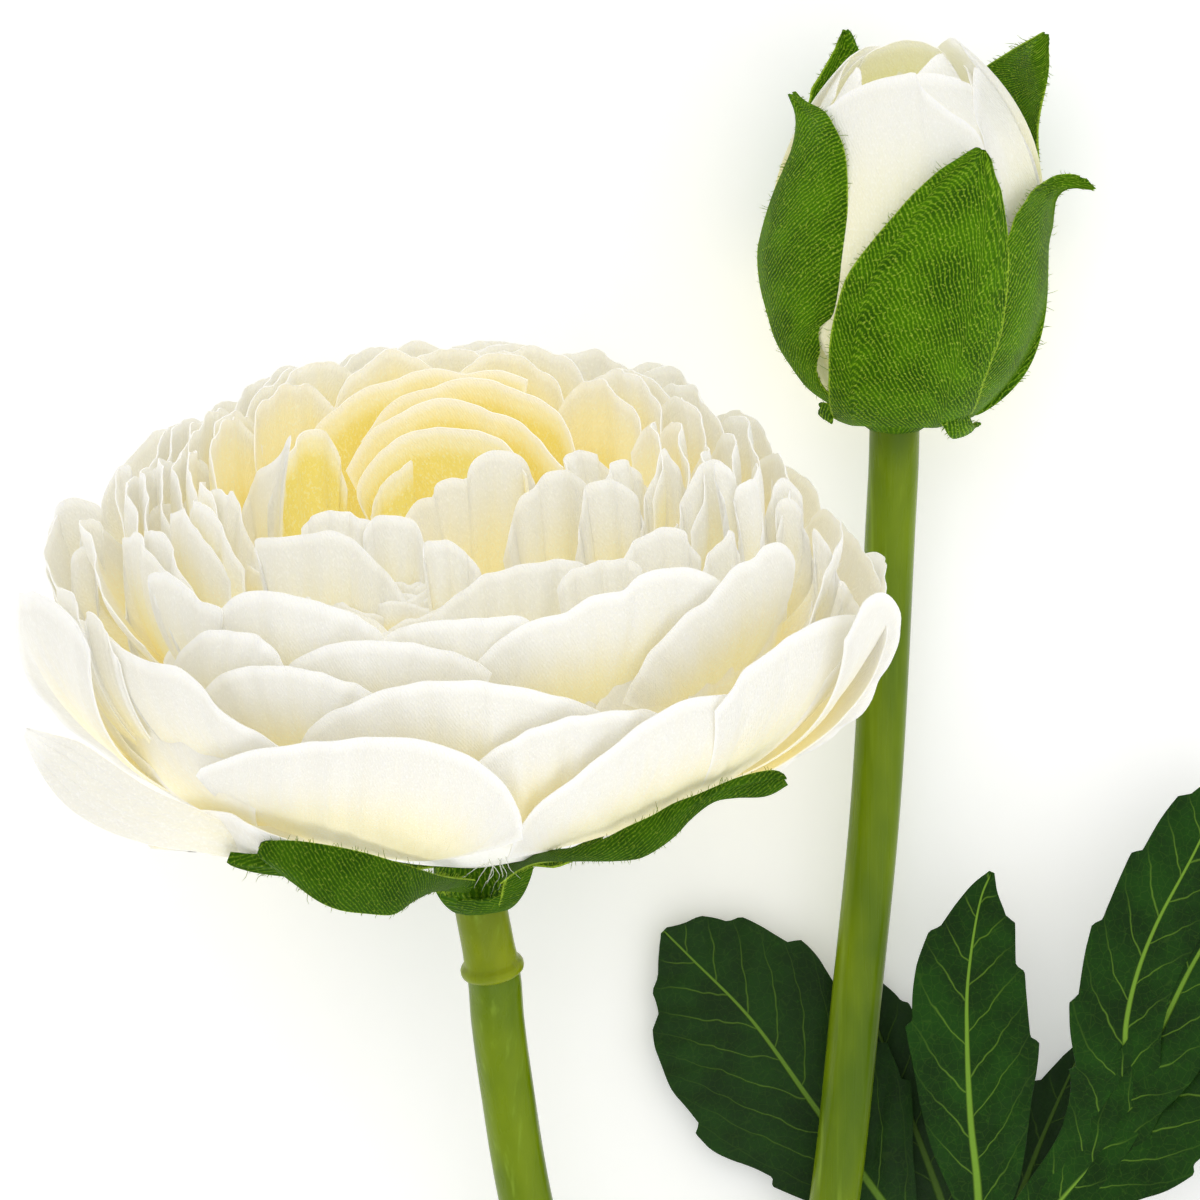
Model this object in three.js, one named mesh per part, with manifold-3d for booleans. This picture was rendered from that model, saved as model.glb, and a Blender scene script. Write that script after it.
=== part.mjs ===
// A cut spray of ranunculus, lying on its side: one open bloom, one bud and a tuft of leaves
// on one forked stem. Millimetres, +Z up. The spray lies on the plane z = 0, +Y runs from the
// cut end of the stem to the flowers, and the open bloom faces up and towards +Y.
import * as THREE from 'three';
import { mergeVertices } from 'three/addons/utils/BufferGeometryUtils.js';
import Module from 'manifold-3d';

const wasm = await Module();
wasm.setup();

// ---------------------------------------------------------------- driving dimensions
const TABLE_Z = 0; // the surface that the spray lies on
const ORIGIN = new THREE.Vector3(6.4, -44.8, 0); // middle of the spray's outline, seen from above

// Open bloom: where its axis leaves the stem, how far it is raised and how far it leans.
const BLOOM_BASE = new THREE.Vector3(-12.5, -29.5, 24.5);
const BLOOM_RISE = 24; // degrees from the table up to the bloom's axis
const BLOOM_LEAN = 3; // degrees that the axis leans towards -X
const PETAL_THICK = 0.62;
const PRESSED = 0.15; // how deep a blade that lies on the table is pressed flat
const PETAL_SEED = 6;
const ROOT_SUNK = 0.05; // part of a petal's length that is sunk in the heart
const OUTER_GRID = [[5, 3], [4, 3], [4, 2]]; // columns and rows of facets in each outer row's petals
const PETAL_ROOT = new THREE.Vector2(5, 5.1); // radius and height where the outer petals begin

// Petal tips over the dome: radius, height above the bloom's base.
const DOME = [[2, 41], [6, 43.5], [9, 47], [12, 50], [16, 51.5], [20, 51.5], [24, 50.8],
  [28, 49], [32, 46.5], [36, 43.5], [40, 38.5], [44, 34]];
// Solid heart of the bloom, hidden among the petals: radius, height.
const HEART = [[0, 4.8], [6, 5], [16, 9.8], [27, 16.4], [32.5, 25], [32, 33], [26, 40],
  [17, 42.5], [11, 39], [6, 34], [0, 33]];

// The three outer rows, petal by petal: direction in degrees (270 faces the viewer from
// above), tip radius, tip height, width.
const OUTER_ROWS = [
  [[254, 43, 36, 39], [303, 42.5, 35, 35], [343, 46, 35, 32], [207, 47, 28, 38],
    [191, 46.5, 38.6, 34], [160, 43, 36, 32], [120, 42, 34.5, 33], [76, 42, 34, 33], [30, 42.5, 31, 33]],
  [[272, 39.5, 40, 36], [224, 42, 38.5, 33], [318, 40.5, 38.5, 30], [347, 43, 34.5, 28],
    [10, 41.5, 33, 29], [50, 40, 37, 31], [92, 39.5, 39, 31],
    [134, 40, 39.5, 31], [165, 42.5, 39, 29]],
  [[243, 37.5, 41.5, 30], [212, 38, 43, 27], [271, 36, 44, 28], [301, 36, 46.5, 31],
    [329, 38, 44, 29], [356, 38, 40, 27], [24, 37, 38.5, 27], [53, 36.5, 41, 27],
    [85, 36, 43, 28], [117, 36, 44.5, 28], [149, 37, 43.5, 27], [180, 38.5, 42, 27]],
];
// The dome rows inside them: tip radius, number of petals, petal width.
const DOME_ROWS = [[32.6, 10, 23], [29.2, 10, 21], [25.8, 9, 20], [22.4, 8, 19], [19, 8, 17],
  [15.6, 6, 17], [12.2, 5, 15], [8.8, 4, 12.5], [5.4, 3, 9]];

// Sepals under the bloom: direction, tip radius, tip height, width. They sit on a small cup.
const SEPAL_THICK = 0.7;
const BLOOM_CUP = [[0, -1.6], [3.6, -1.6], [4.3, 0], [4.6, 2.4], [3.6, 4.3], [0, 4.3]];
const BLOOM_SEPALS = [[347, 33.5, 15.3, 15], [226, 27, 11, 23], [196, 28, 8.5, 13],
  [122, 29, 11.5, 17], [52, 29, 11, 17]];

// Bud: base of its cup, rise of its axis, lean towards -X.
const BUD_BASE = new THREE.Vector3(30.4, 17.2, 9.4);
const BUD_RISE = 16;
const BUD_LEAN = -1.2;
const BUD_HEART = [[0, 2], [5, 2.6], [9.2, 7], [9.8, 14], [9, 21], [7, 28], [3.6, 33], [0, 33]];
// Bud petals: direction, tip radius, tip height, width, radius at the belly.
const BUD_PETALS = [[255, 6.9, 37, 23, 12.1], [335, 6.8, 38.6, 20, 12.1], [55, 6.4, 39, 20, 12.1],
  [150, 6.6, 38.4, 21, 12.1], [205, 5.2, 39, 14, 10.8], [290, 4.4, 37.4, 12, 10.6], [95, 4.6, 39.8, 15, 10.8]];
const BUD_CUP = [[0, 0], [6.4, 0], [7, 0.8], [5.4, 1.6], [0, 1.6]];
// Bud sepals: direction at the base, turn towards the tip, tip radius, tip height, width,
// radius at the belly, radius and height of the curve's last handle.
const BUD_SEPALS = [[262, 46, 12, 30, 22, 14.2, 15, 20], [203, -2, 12.4, 36.5, 21, 14.6, 11.6, 24],
  [335, 14, 20.4, 26.4, 21, 14.8, 13.6, 25], [60, -20, 19, 39.5, 19, 14.4, 12, 23],
  [130, -18, 14.5, 39.5, 19, 14.2, 13, 24]];

// Stems: centre lines from the flowers down to the fork, and their radii.
const STEM_SIDES = 10;
const BLOOM_STEM_RADIUS = 2.75;
const BUD_STEM_RADIUS = 2.6;
const MAIN_STEM_RADIUS = 3.1;
const LEAF_STEM_RADIUS = 1.5;
const FORK = new THREE.Vector3(12, -113, 6.4);
const STEM_END = new THREE.Vector3(15, -148, 2.85);

// Stub under the bloom: a moulded sleeve with a collar ring at its lower end.
const STUB_TOP = new THREE.Vector3(-12.35, -31.45, 23.65);
const STUB_END = new THREE.Vector3(-10.95, -38.4, 20.5);
const COLLAR_RADIUS = 3.3;

const BLOOM_STEM = [[-10.8, -39, 20.2], [-10.5, -43, 18.7], [-9.4, -51.2, 16.3], [-7.7, -61.4, 13.8],
  [-2.5, -82, 9.4], [5, -100, 7]];
const BUD_STEM = [[30.5, 16.5, 9.15], [30.1, 8, 8.1], [28.6, -20.5, 7.5], [26.6, -40.9, 7.7],
  [24.4, -61.4, 7.8], [20.6, -84, 7.2], [16.4, -101, 6.8]];
const LEAF_STEM = [[38.2, -76.9, 4.6], [33, -86.5, 4.8], [23, -101, 5.6]];

// Leaves. Midrib points run from the hub outwards; half widths are given against the share
// of the midrib's length; teeth point to the tip and stand out by their depth.
const LEAF_THICK = 0.75;
const HUB_RADIUS = 2.1;
const LEAF_ROW_GAP = 0.02; // rows of facets nearer than this share are merged
const TOOTH_DROP = 0.022; // share of the midrib over which a tooth falls back
const HUB = [39.4, -74.7, 4.6];
const LEAVES = [
  { // broad leaf that runs under the bud's stem
    rib: [HUB, [33.8, -68.5, 3.9], [28.6, -61.4, 3.2], [22.2, -52.5, 2.7], [15.5, -43.3, 2.3],
      [9.3, -37, 2], [6.6, -34.3, 2.4]],
    left: [[0, 0.6], [0.2, 0.7], [0.3, 3.4], [0.42, 6.6], [0.5, 8.4], [0.6, 10.8], [0.72, 10.8],
      [0.84, 9.2], [0.92, 6.2], [1, 1.4]],
    right: [[0, 0.6], [0.2, 0.7], [0.28, 3.3], [0.36, 5.8], [0.42, 7.6], [0.51, 9.2], [0.61, 9],
      [0.75, 9], [0.85, 7.4], [0.93, 5.4], [1, 2]],
    teethLeft: [0.46, 0.63, 0.88, 0.93],
    teethRight: [0.47, 0.56, 0.68, 0.8, 0.91, 0.97],
    depth: 0.9,
    cup: 0.05,
  },
  { // dark leaf behind it
    rib: [HUB, [36, -64, 1.6], [32, -53, 0.9], [28.8, -44.5, 0.8], [26.2, -37.6, 0.9]],
    left: [[0, 0.6], [0.2, 0.7], [0.4, 3.2], [0.7, 4], [0.9, 2.2], [1, 0.3]],
    right: [[0, 0.6], [0.2, 0.7], [0.4, 3.4], [0.65, 4.2], [0.85, 3.4], [1, 0.3]],
    teethLeft: [0.5, 0.75],
    teethRight: [0.45, 0.62, 0.85],
    depth: 0.6,
    cup: 0.02,
  },
  { // middle leaflet, nearest to the viewer
    rib: [HUB, [39.1, -61.4, 7.4], [38.3, -53.7, 9.4], [37.9, -45.1, 10.8], [38, -39.3, 10.8],
      [39.4, -30.7, 9.6], [40.5, -28.1, 9.2]],
    left: [[0, 0.6], [0.18, 0.7], [0.29, 2.8], [0.42, 4.5], [0.55, 5.4], [0.69, 5.6], [0.77, 5.1],
      [0.84, 4], [0.9, 2.7], [1, 0.3]],
    right: [[0, 0.6], [0.18, 0.7], [0.28, 3.9], [0.44, 6], [0.57, 6.8], [0.7, 6], [0.8, 4.8],
      [0.9, 3.2], [1, 0.3]],
    teethLeft: [0.66, 0.85],
    teethRight: [0.62, 0.79, 0.9],
    depth: 0.8,
    cup: 0.1,
  },
  { // small dark leaf behind the gap
    rib: [HUB, [42.4, -65, 2.4], [45.6, -56.5, 1.4], [48.2, -50.5, 1.2], [50.6, -45.4, 1.3]],
    left: [[0, 0.6], [0.25, 0.7], [0.5, 2.4], [0.75, 2.8], [0.9, 1.6], [1, 0.3]],
    right: [[0, 0.6], [0.25, 0.7], [0.5, 2.6], [0.75, 2.8], [0.9, 1.6], [1, 0.3]],
    teethLeft: [0.6, 0.8],
    teethRight: [0.6, 0.8],
    depth: 0.5,
    cup: 0.02,
  },
];
// The big leaf at the right has three lobes that share one stalk.
const LOBED_LEAF = [
  { // left lobe
    rib: [HUB, [44, -66.5, 6.4], [51.6, -56, 9.6], [54.1, -49.9, 11], [54.3, -43.9, 11.6],
      [55.4, -38.8, 11.6], [57.4, -33.6, 11.2], [61.4, -26.1, 10], [65.6, -17.4, 8]],
    left: [[0, 0.6], [0.1, 0.7], [0.17, 3.2], [0.3, 3.8], [0.4, 4.6], [0.5, 5.2], [0.62, 5.4],
      [0.74, 5.2], [0.85, 4.6], [0.93, 3], [1, 0.3]],
    right: [[0, 0.6], [0.1, 0.7], [0.17, 2.4], [0.3, 4.5], [0.45, 5], [0.65, 5.2], [0.8, 4.8],
      [0.92, 3], [1, 0.3]],
    teethLeft: [0.47, 0.57, 0.68, 0.8, 0.92],
    teethRight: [0.74, 0.84, 0.93],
    depth: 0.8,
    cup: 0.1,
  },
  { // middle lobe
    rib: [[44, -66.5, 6.4], [51.6, -56, 9.6], [54, -49.9, 11], [56.8, -46.2, 11.3], [61.4, -37.3, 11],
      [67, -28.5, 9.6], [72.4, -21.5, 7.6]],
    left: [[0, 0.7], [0.1, 2], [0.3, 3.4], [0.5, 4.8], [0.7, 5.4], [0.85, 4], [1, 0.3]],
    right: [[0, 0.7], [0.1, 2], [0.3, 4.6], [0.5, 5.6], [0.7, 5.6], [0.85, 4], [1, 0.3]],
    teethLeft: [0.72, 0.82, 0.92],
    teethRight: [0.72, 0.82, 0.92],
    depth: 0.8,
    cup: 0.1,
  },
  { // right lobe
    rib: [[44, -66.5, 6.4], [51.6, -58.2, 9.2], [56, -54.4, 10.4], [61.4, -48.5, 10.6], [67.5, -43.5, 9.4],
      [73.5, -40.4, 7.4]],
    left: [[0, 0.7], [0.15, 2.6], [0.4, 4.4], [0.6, 5.4], [0.8, 4.4], [1, 0.3]],
    right: [[0, 0.7], [0.15, 3.4], [0.4, 6.4], [0.6, 6.6], [0.8, 4.8], [1, 0.3]],
    teethLeft: [0.72, 0.84],
    teethRight: [0.44, 0.58, 0.72, 0.86],
    depth: 0.8,
    cup: 0.1,
  },
];

const JOIN_TOLERANCE = 0.01;

const COLOURS = { petals: '#f4f1e4', sepals: '#437619', stub: '#86a526', stem: '#6b8f1f', leaves: '#1f4a1c' };

// ---------------------------------------------------------------- small helpers
const radians = THREE.MathUtils.degToRad;
const vec2 = (pair) => new THREE.Vector2(pair[0], pair[1]);

function seeded(seed) {
  let state = seed;
  return () => {
    state = (state * 1664525 + 1013904223) % 4294967296;
    return state / 4294967296;
  };
}

function heightOverDome(radius) {
  const after = DOME.findIndex((point) => point[0] >= radius);
  const [r0, h0] = DOME[after - 1];
  const [r1, h1] = DOME[after];
  return THREE.MathUtils.mapLinear(radius, r0, r1, h0, h1);
}

// A closed body turned about its own +Z axis. Profile points are radius, height.
function turned(profile, sides) {
  return new THREE.LatheGeometry(profile.map(vec2), sides).rotateX(Math.PI / 2);
}

const evenly = (from, to, count) => Array.from({ length: count + 1 }, (_, k) => from + ((to - from) * k) / count);

// A thin closed blade: a grid on its middle surface, thickened both ways along the normal.
// The grid has a row at each station. Both faces are split along the same diagonals.
function blade(surface, columns, stations, thickness) {
  const step = 1e-3;
  const rows = stations.length - 1;
  const points = [];
  for (const side of [1, -1]) {
    for (let j = 0; j <= rows; j += 1) {
      for (let i = 0; i <= columns; i += 1) {
        const u = -1 + (2 * i) / columns;
        const v = stations[j];
        const across = surface(u + step, v).sub(surface(u - step, v));
        const along = surface(u, v + step).sub(surface(u, v - step));
        const normal = across.cross(along).normalize();
        points.push(...surface(u, v).addScaledVector(normal, (side * thickness) / 2));
      }
    }
  }
  const width = columns + 1;
  const layer = width * (rows + 1);
  const index = [];
  const quad = (a, b, c, d) => index.push(a, b, c, a, c, d);
  for (let j = 0; j < rows; j += 1) {
    for (let i = 0; i < columns; i += 1) {
      const a = j * width + i;
      quad(a, a + 1, a + width + 1, a + width);
      index.push(layer + a, layer + a + width + 1, layer + a + 1);
      index.push(layer + a, layer + a + width, layer + a + width + 1);
    }
  }
  const rim = [];
  for (let i = 0; i < columns; i += 1) rim.push(i);
  for (let j = 0; j < rows; j += 1) rim.push(j * width + columns);
  for (let i = columns; i > 0; i -= 1) rim.push(rows * width + i);
  for (let j = rows; j > 0; j -= 1) rim.push(j * width);
  rim.forEach((a, k) => {
    const b = rim[(k + 1) % rim.length];
    quad(layer + a, layer + b, b, a);
  });
  const geometry = new THREE.BufferGeometry();
  geometry.setAttribute('position', new THREE.Float32BufferAttribute(points, 3));
  geometry.setIndex(index);
  return geometry;
}

function toSolid(geometry) {
  const bare = geometry.clone();
  bare.deleteAttribute('normal');
  bare.deleteAttribute('uv');
  const merged = mergeVertices(bare, 1e-4);
  return new wasm.Manifold(new wasm.Mesh({
    numProp: 3,
    vertProperties: new Float32Array(merged.attributes.position.array),
    triVerts: new Uint32Array(merged.index.array),
  }));
}

// The space under the table, as a block in a group's own frame.
function underTable(group) {
  const block = new THREE.BoxGeometry(600, 600, 20).translate(0, 0, TABLE_Z - 10);
  return block.applyMatrix4(group.matrixWorld.clone().invert());
}

// Joins closed pieces into one body and flattens it where it is pressed on the table.
// A hollow sealed by the join is filled.
function fuse(geometries, group) {
  const joined = wasm.Manifold.union(geometries.map(toSolid)).simplify(JOIN_TOLERANCE);
  const rested = joined.subtract(toSolid(underTable(group)));
  const bodies = rested.decompose().sort((a, b) => b.volume() - a.volume());
  const mesh = bodies[0].getMesh();
  const geometry = new THREE.BufferGeometry();
  geometry.setAttribute('position', new THREE.BufferAttribute(new Float32Array(mesh.vertProperties), 3));
  geometry.setIndex(new THREE.BufferAttribute(new Uint32Array(mesh.triVerts), 1));
  return geometry;
}

function piece(name, geometry, colour, roughness) {
  const flat = geometry.index ? geometry.toNonIndexed() : geometry;
  flat.computeVertexNormals();
  const material = new THREE.MeshStandardMaterial({ color: colour, roughness, metalness: 0 });
  const mesh = new THREE.Mesh(flat, material);
  mesh.name = name;
  return mesh;
}

// A group whose +Z is a flower's axis and whose -Y side faces up, away from the table.
function flowerGroup(base, rise, lean) {
  const group = new THREE.Group();
  group.position.copy(base);
  group.rotation.set(radians(rise - 90), 0, radians(lean), 'ZXY');
  group.updateMatrixWorld(true);
  return group;
}

// ---------------------------------------------------------------- petals and sepals
// A blade round a flower's axis. Its middle line is a curve of radius and height, it is
// widest at three quarters of its length, and its top edge is an arc with small lobes.
function petalSurface(petal, tablePlane) {
  const line = new THREE.CubicBezierCurve(petal.root, petal.low, petal.high, petal.tip);
  const length = line.getLength();
  return (u, v) => {
    const lobes = petal.lobe * Math.cos(petal.lobes * Math.PI * u) * v ** 4;
    const along = v * (1 - petal.arc * Math.abs(u) ** 2.4 * v) + lobes / length;
    const side = ((u * petal.width) / 2) * petal.spread(v);
    const centre = line.getPoint(along);
    const ahead = line.getTangent(along);
    const inward = petal.twist * side;
    const radius = centre.x - ahead.y * inward;
    const height = centre.y + ahead.x * inward;
    const angle = petal.angle + petal.turn * v * v + side / Math.max(centre.x, petal.minRadius);
    const point = new THREE.Vector3(radius * Math.cos(angle), radius * Math.sin(angle), height);
    const short = PETAL_THICK / 2 - PRESSED - tablePlane.distanceToPoint(point);
    return short > 0 ? point.addScaledVector(tablePlane.normal, short) : point;
  };
}

// What a blade does unless its maker says otherwise.
const PLAIN = { turn: 0, arc: 0, lobe: 0, lobes: 2, twist: 0, minRadius: 8 };

const fan = (v) => Math.sin(Math.PI * (0.12 + 0.52 * v));
const leafy = (v) => Math.sin(Math.PI * (0.14 + 0.84 * v)) ** 0.8;

function tableSeenFrom(group) {
  const table = new THREE.Plane(new THREE.Vector3(0, 0, 1), -TABLE_Z);
  return table.applyMatrix4(group.matrixWorld.clone().invert());
}

function insideHeart({ x: radius, y: height }) {
  let inside = false;
  HEART.forEach(([r1, h1], k) => {
    const [r0, h0] = HEART[(k + HEART.length - 1) % HEART.length];
    const crosses = (h1 > height) !== (h0 > height);
    if (crosses && radius < r0 + ((height - h0) * (r1 - r0)) / (h1 - h0)) inside = !inside;
  });
  return inside;
}

// How far along a petal its blade begins, a little way inside the heart.
function hiddenPart(petal) {
  const line = new THREE.CubicBezierCurve(petal.root, petal.low, petal.high, petal.tip);
  let along = 1;
  while (along > ROOT_SUNK && !insideHeart(line.getPoint(along))) along -= 0.01;
  return along - ROOT_SUNK;
}

function outerPetal([angle, radius, height, width], row) {
  return {
    ...PLAIN,
    angle: radians(angle),
    root: new THREE.Vector2(PETAL_ROOT.x - row * 0.8, PETAL_ROOT.y + row * 1.2),
    low: new THREE.Vector2(20 - row, 12 + row * 3),
    high: new THREE.Vector2(radius - 4 + row * 2, height - 18 + row * 2),
    tip: new THREE.Vector2(radius, height),
    width,
    spread: fan,
    arc: 0.17,
    twist: 0.09,
    minRadius: 9,
  };
}

function domePetal(angle, radius, width, random) {
  const height = heightOverDome(radius) + (random() - 0.5) * 1.6;
  return {
    ...PLAIN,
    angle,
    root: new THREE.Vector2(radius * 0.3, 12),
    low: new THREE.Vector2(radius * 0.75, height * 0.36),
    high: new THREE.Vector2(radius + 2, height - 13),
    tip: new THREE.Vector2(radius + (random() - 0.5) * 0.8, height),
    width: width * (0.92 + 0.16 * random()),
    spread: fan,
    arc: 0.12,
    lobe: 0.35,
    lobes: random() < 0.5 ? 2 : 4,
    twist: 0.08,
    minRadius: 4,
  };
}

function makeBloomPetals(group) {
  const table = tableSeenFrom(group);
  const random = seeded(PETAL_SEED);
  const pieces = [turned(HEART, 12)];
  OUTER_ROWS.forEach((row, k) => {
    for (const place of row) {
      const petal = outerPetal(place, k);
      const stations = evenly(hiddenPart(petal), 1, OUTER_GRID[k][1]);
      pieces.push(blade(petalSurface(petal, table), OUTER_GRID[k][0], stations, PETAL_THICK));
    }
  });
  DOME_ROWS.forEach(([radius, count, width], k) => {
    const turn = random();
    for (let i = 0; i < count; i += 1) {
      const angle = ((i + turn + (random() - 0.5) * 0.3) / count) * 2 * Math.PI;
      const petal = domePetal(angle, radius, width, random);
      pieces.push(blade(petalSurface(petal, table), 4, evenly(hiddenPart(petal), 1, 2), PETAL_THICK));
    }
  });
  return piece('bloom_petals', fuse(pieces, group), COLOURS.petals, 0.75);
}

// ---------------------------------------------------------------- sepals and bud
function makeBloomCalyx(group) {
  const table = tableSeenFrom(group);
  const pieces = [turned(BLOOM_CUP, 14)];
  for (const [angle, radius, height, width] of BLOOM_SEPALS) {
    const sepal = {
      ...PLAIN,
      angle: radians(angle),
      root: new THREE.Vector2(2.4, 2.2),
      low: new THREE.Vector2(10, 1.2),
      high: new THREE.Vector2(radius * 0.72, height - 8.5),
      tip: new THREE.Vector2(radius, height),
      width,
      spread: leafy,
    };
    pieces.push(blade(petalSurface(sepal, table), 4, evenly(0.08, 0.995, 4), SEPAL_THICK));
  }
  return piece('bloom_calyx', fuse(pieces, group), COLOURS.sepals, 0.7);
}

function makeBudPetals(group) {
  const table = tableSeenFrom(group);
  const pieces = [turned(BUD_HEART, 12)];
  for (const [angle, radius, height, width, belly] of BUD_PETALS) {
    const petal = {
      ...PLAIN,
      angle: radians(angle),
      root: new THREE.Vector2(belly * 0.72, 5),
      low: new THREE.Vector2(belly * 1.08, 15),
      high: new THREE.Vector2(belly * 1.05, height - 10),
      tip: new THREE.Vector2(radius, height),
      width,
      spread: (v) => Math.sin(Math.PI * (0.2 + 0.5 * v)),
      arc: 0.08,
      twist: 0.05,
      minRadius: 4.5,
    };
    pieces.push(blade(petalSurface(petal, table), 4, evenly(0.2, 1, 4), PETAL_THICK));
  }
  return piece('bud_petals', fuse(pieces, group), COLOURS.petals, 0.75);
}

function makeBudSepals(group) {
  const table = tableSeenFrom(group);
  const pieces = [turned(BUD_CUP, 16)];
  for (const [angle, turn, radius, height, width, belly, lastRadius, lastHeight] of BUD_SEPALS) {
    const sepal = {
      ...PLAIN,
      angle: radians(angle),
      root: new THREE.Vector2(4, 0.8),
      low: new THREE.Vector2(belly * 1.2, 1.5),
      high: new THREE.Vector2(lastRadius, lastHeight),
      tip: new THREE.Vector2(radius, height),
      width,
      turn: radians(turn),
      spread: (v) => Math.sin(Math.PI * (0.22 + 0.76 * Math.min(v, 1))) ** 0.75,
      twist: 0.04,
      minRadius: 6,
    };
    pieces.push(blade(petalSurface(sepal, table), 4, evenly(0, 0.99, 6), SEPAL_THICK));
  }
  return piece('bud_sepals', fuse(pieces, group), COLOURS.sepals, 0.7);
}

// ---------------------------------------------------------------- stems
function tube(points, radius, steps) {
  const section = new THREE.Shape().absarc(0, 0, radius, 0, 2 * Math.PI);
  const path = new THREE.CatmullRomCurve3(points.map((point) => new THREE.Vector3(...point)));
  const options = { steps, bevelEnabled: false, extrudePath: path, curveSegments: STEM_SIDES / 2 };
  return new THREE.ExtrudeGeometry(section, options);
}

function makeStem(group) {
  const fork = [...FORK];
  const pieces = [
    tube([...BLOOM_STEM, fork], BLOOM_STEM_RADIUS, 12),
    tube([...BUD_STEM, fork], BUD_STEM_RADIUS, 13),
    tube([...LEAF_STEM, fork], LEAF_STEM_RADIUS, 6),
    tube([fork, [13.4, -130, 4.6], [...STEM_END]], MAIN_STEM_RADIUS, 4),
    new THREE.SphereGeometry(MAIN_STEM_RADIUS * 1.12, 12, 8).translate(...fork),
  ];
  return piece('stem', fuse(pieces, group), COLOURS.stem, 0.4);
}

function makeStub() {
  const axis = STUB_TOP.clone().sub(STUB_END);
  const length = axis.length();
  const ring = [[0, 0], [2.9, 0], [COLLAR_RADIUS, 0.35], [COLLAR_RADIUS, 1.1], [2.9, 1.5]];
  const profile = [...ring, [BLOOM_STEM_RADIUS, length - 0.4], [BLOOM_STEM_RADIUS - 0.4, length], [0, length]];
  const stub = piece('bloom_stub', turned(profile, 16), COLOURS.stub, 0.35);
  stub.position.copy(STUB_END);
  stub.quaternion.setFromUnitVectors(new THREE.Vector3(0, 0, 1), axis.normalize());
  return stub;
}

// ---------------------------------------------------------------- leaves
function between(pairs, at) {
  const after = Math.max(1, pairs.findIndex((pair) => pair[0] >= at));
  const [v0, w0] = pairs[after - 1];
  const [v1, w1] = pairs[after];
  return THREE.MathUtils.mapLinear(at, v0, v1, w0, w1);
}

// A saw edge: it swells towards each tooth's point and drops back just past it.
function sawAt(teeth, at) {
  const next = teeth.findIndex((tooth) => tooth >= at);
  if (next < 0) return 0;
  const last = next === 0 ? teeth[0] - 0.14 : teeth[next - 1];
  return THREE.MathUtils.clamp((at - last - TOOTH_DROP) / (teeth[next] - last - TOOTH_DROP), 0, 1);
}

function leafBlade(leaf) {
  const rib = new THREE.CatmullRomCurve3(leaf.rib.map((point) => new THREE.Vector3(...point)));
  const surface = (u, v) => {
    const at = THREE.MathUtils.clamp(v, 0, 1);
    const centre = rib.getPointAt(at);
    const ahead = rib.getTangentAt(at);
    const across = new THREE.Vector3(ahead.y, -ahead.x, 0).normalize();
    const [pairs, teeth] = u < 0 ? [leaf.left, leaf.teethLeft] : [leaf.right, leaf.teethRight];
    const half = between(pairs, at) + leaf.depth * sawAt(teeth, at) * Math.abs(u);
    const past = ahead.multiplyScalar((v - at) * rib.getLength());
    centre.add(past).addScaledVector(across, u * half);
    centre.z += leaf.cup * Math.abs(u) * half;
    return centre;
  };
  const corners = [...leaf.left, ...leaf.right].map((pair) => pair[0]);
  const teeth = [...leaf.teethLeft, ...leaf.teethRight].flatMap((tooth) => [tooth, tooth + TOOTH_DROP]);
  const sorted = [...corners, ...teeth].filter((at) => at <= 1).sort((a, b) => a - b);
  const stations = sorted.filter((at, k) => k === 0 || at - sorted[k - 1] > LEAF_ROW_GAP);
  return blade(surface, 2, stations, LEAF_THICK);
}

function makeLeaves(group) {
  const hub = new THREE.SphereGeometry(HUB_RADIUS, 12, 8).translate(...HUB);
  return piece('leaf_cluster', fuse([hub, ...[...LEAVES, ...LOBED_LEAF].map(leafBlade)], group), COLOURS.leaves, 0.6);
}

// ---------------------------------------------------------------- the spray
const root = new THREE.Group();
const spray = new THREE.Group();
spray.position.copy(ORIGIN).negate();
root.add(spray);

const bloom = flowerGroup(BLOOM_BASE, BLOOM_RISE, BLOOM_LEAN);
bloom.add(makeBloomPetals(bloom), makeBloomCalyx(bloom));
const bud = flowerGroup(BUD_BASE, BUD_RISE, BUD_LEAN);
bud.add(makeBudPetals(bud), makeBudSepals(bud));
spray.add(bloom, bud, makeStub(), makeStem(root), makeLeaves(root));

export default root;
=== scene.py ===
"""The looks of the spray of ranunculus: an open bloom, a bud and leaves on one forked stem.

Sizes are worked out in millimetres in the same frame as the CAD source, and become metres where
a mesh is made. Every piece but the threads of glue replaces the CAD node whose place and shape
it has. Drawn outlines are in pixels of the camera's view, which is VIEW wide and high.
"""

import math

import bpy
import numpy as np
from mathutils import Matrix, Vector


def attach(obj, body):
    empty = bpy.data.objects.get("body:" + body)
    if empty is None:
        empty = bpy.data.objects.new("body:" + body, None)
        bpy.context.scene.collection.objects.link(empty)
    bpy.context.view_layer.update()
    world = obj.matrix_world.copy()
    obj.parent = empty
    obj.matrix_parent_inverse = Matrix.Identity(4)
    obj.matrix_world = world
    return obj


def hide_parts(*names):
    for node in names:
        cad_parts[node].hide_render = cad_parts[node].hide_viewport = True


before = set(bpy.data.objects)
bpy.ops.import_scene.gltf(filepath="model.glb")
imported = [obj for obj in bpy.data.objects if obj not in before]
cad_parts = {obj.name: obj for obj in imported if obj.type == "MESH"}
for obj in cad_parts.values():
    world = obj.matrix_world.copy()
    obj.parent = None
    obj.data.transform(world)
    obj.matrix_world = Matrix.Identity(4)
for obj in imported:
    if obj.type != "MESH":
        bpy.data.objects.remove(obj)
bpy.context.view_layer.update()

MM = 0.001
ORIGIN = np.array([6.4, -44.8, 0.0])  # middle of the spray's outline, seen from above
TAU = 2 * math.pi

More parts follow.
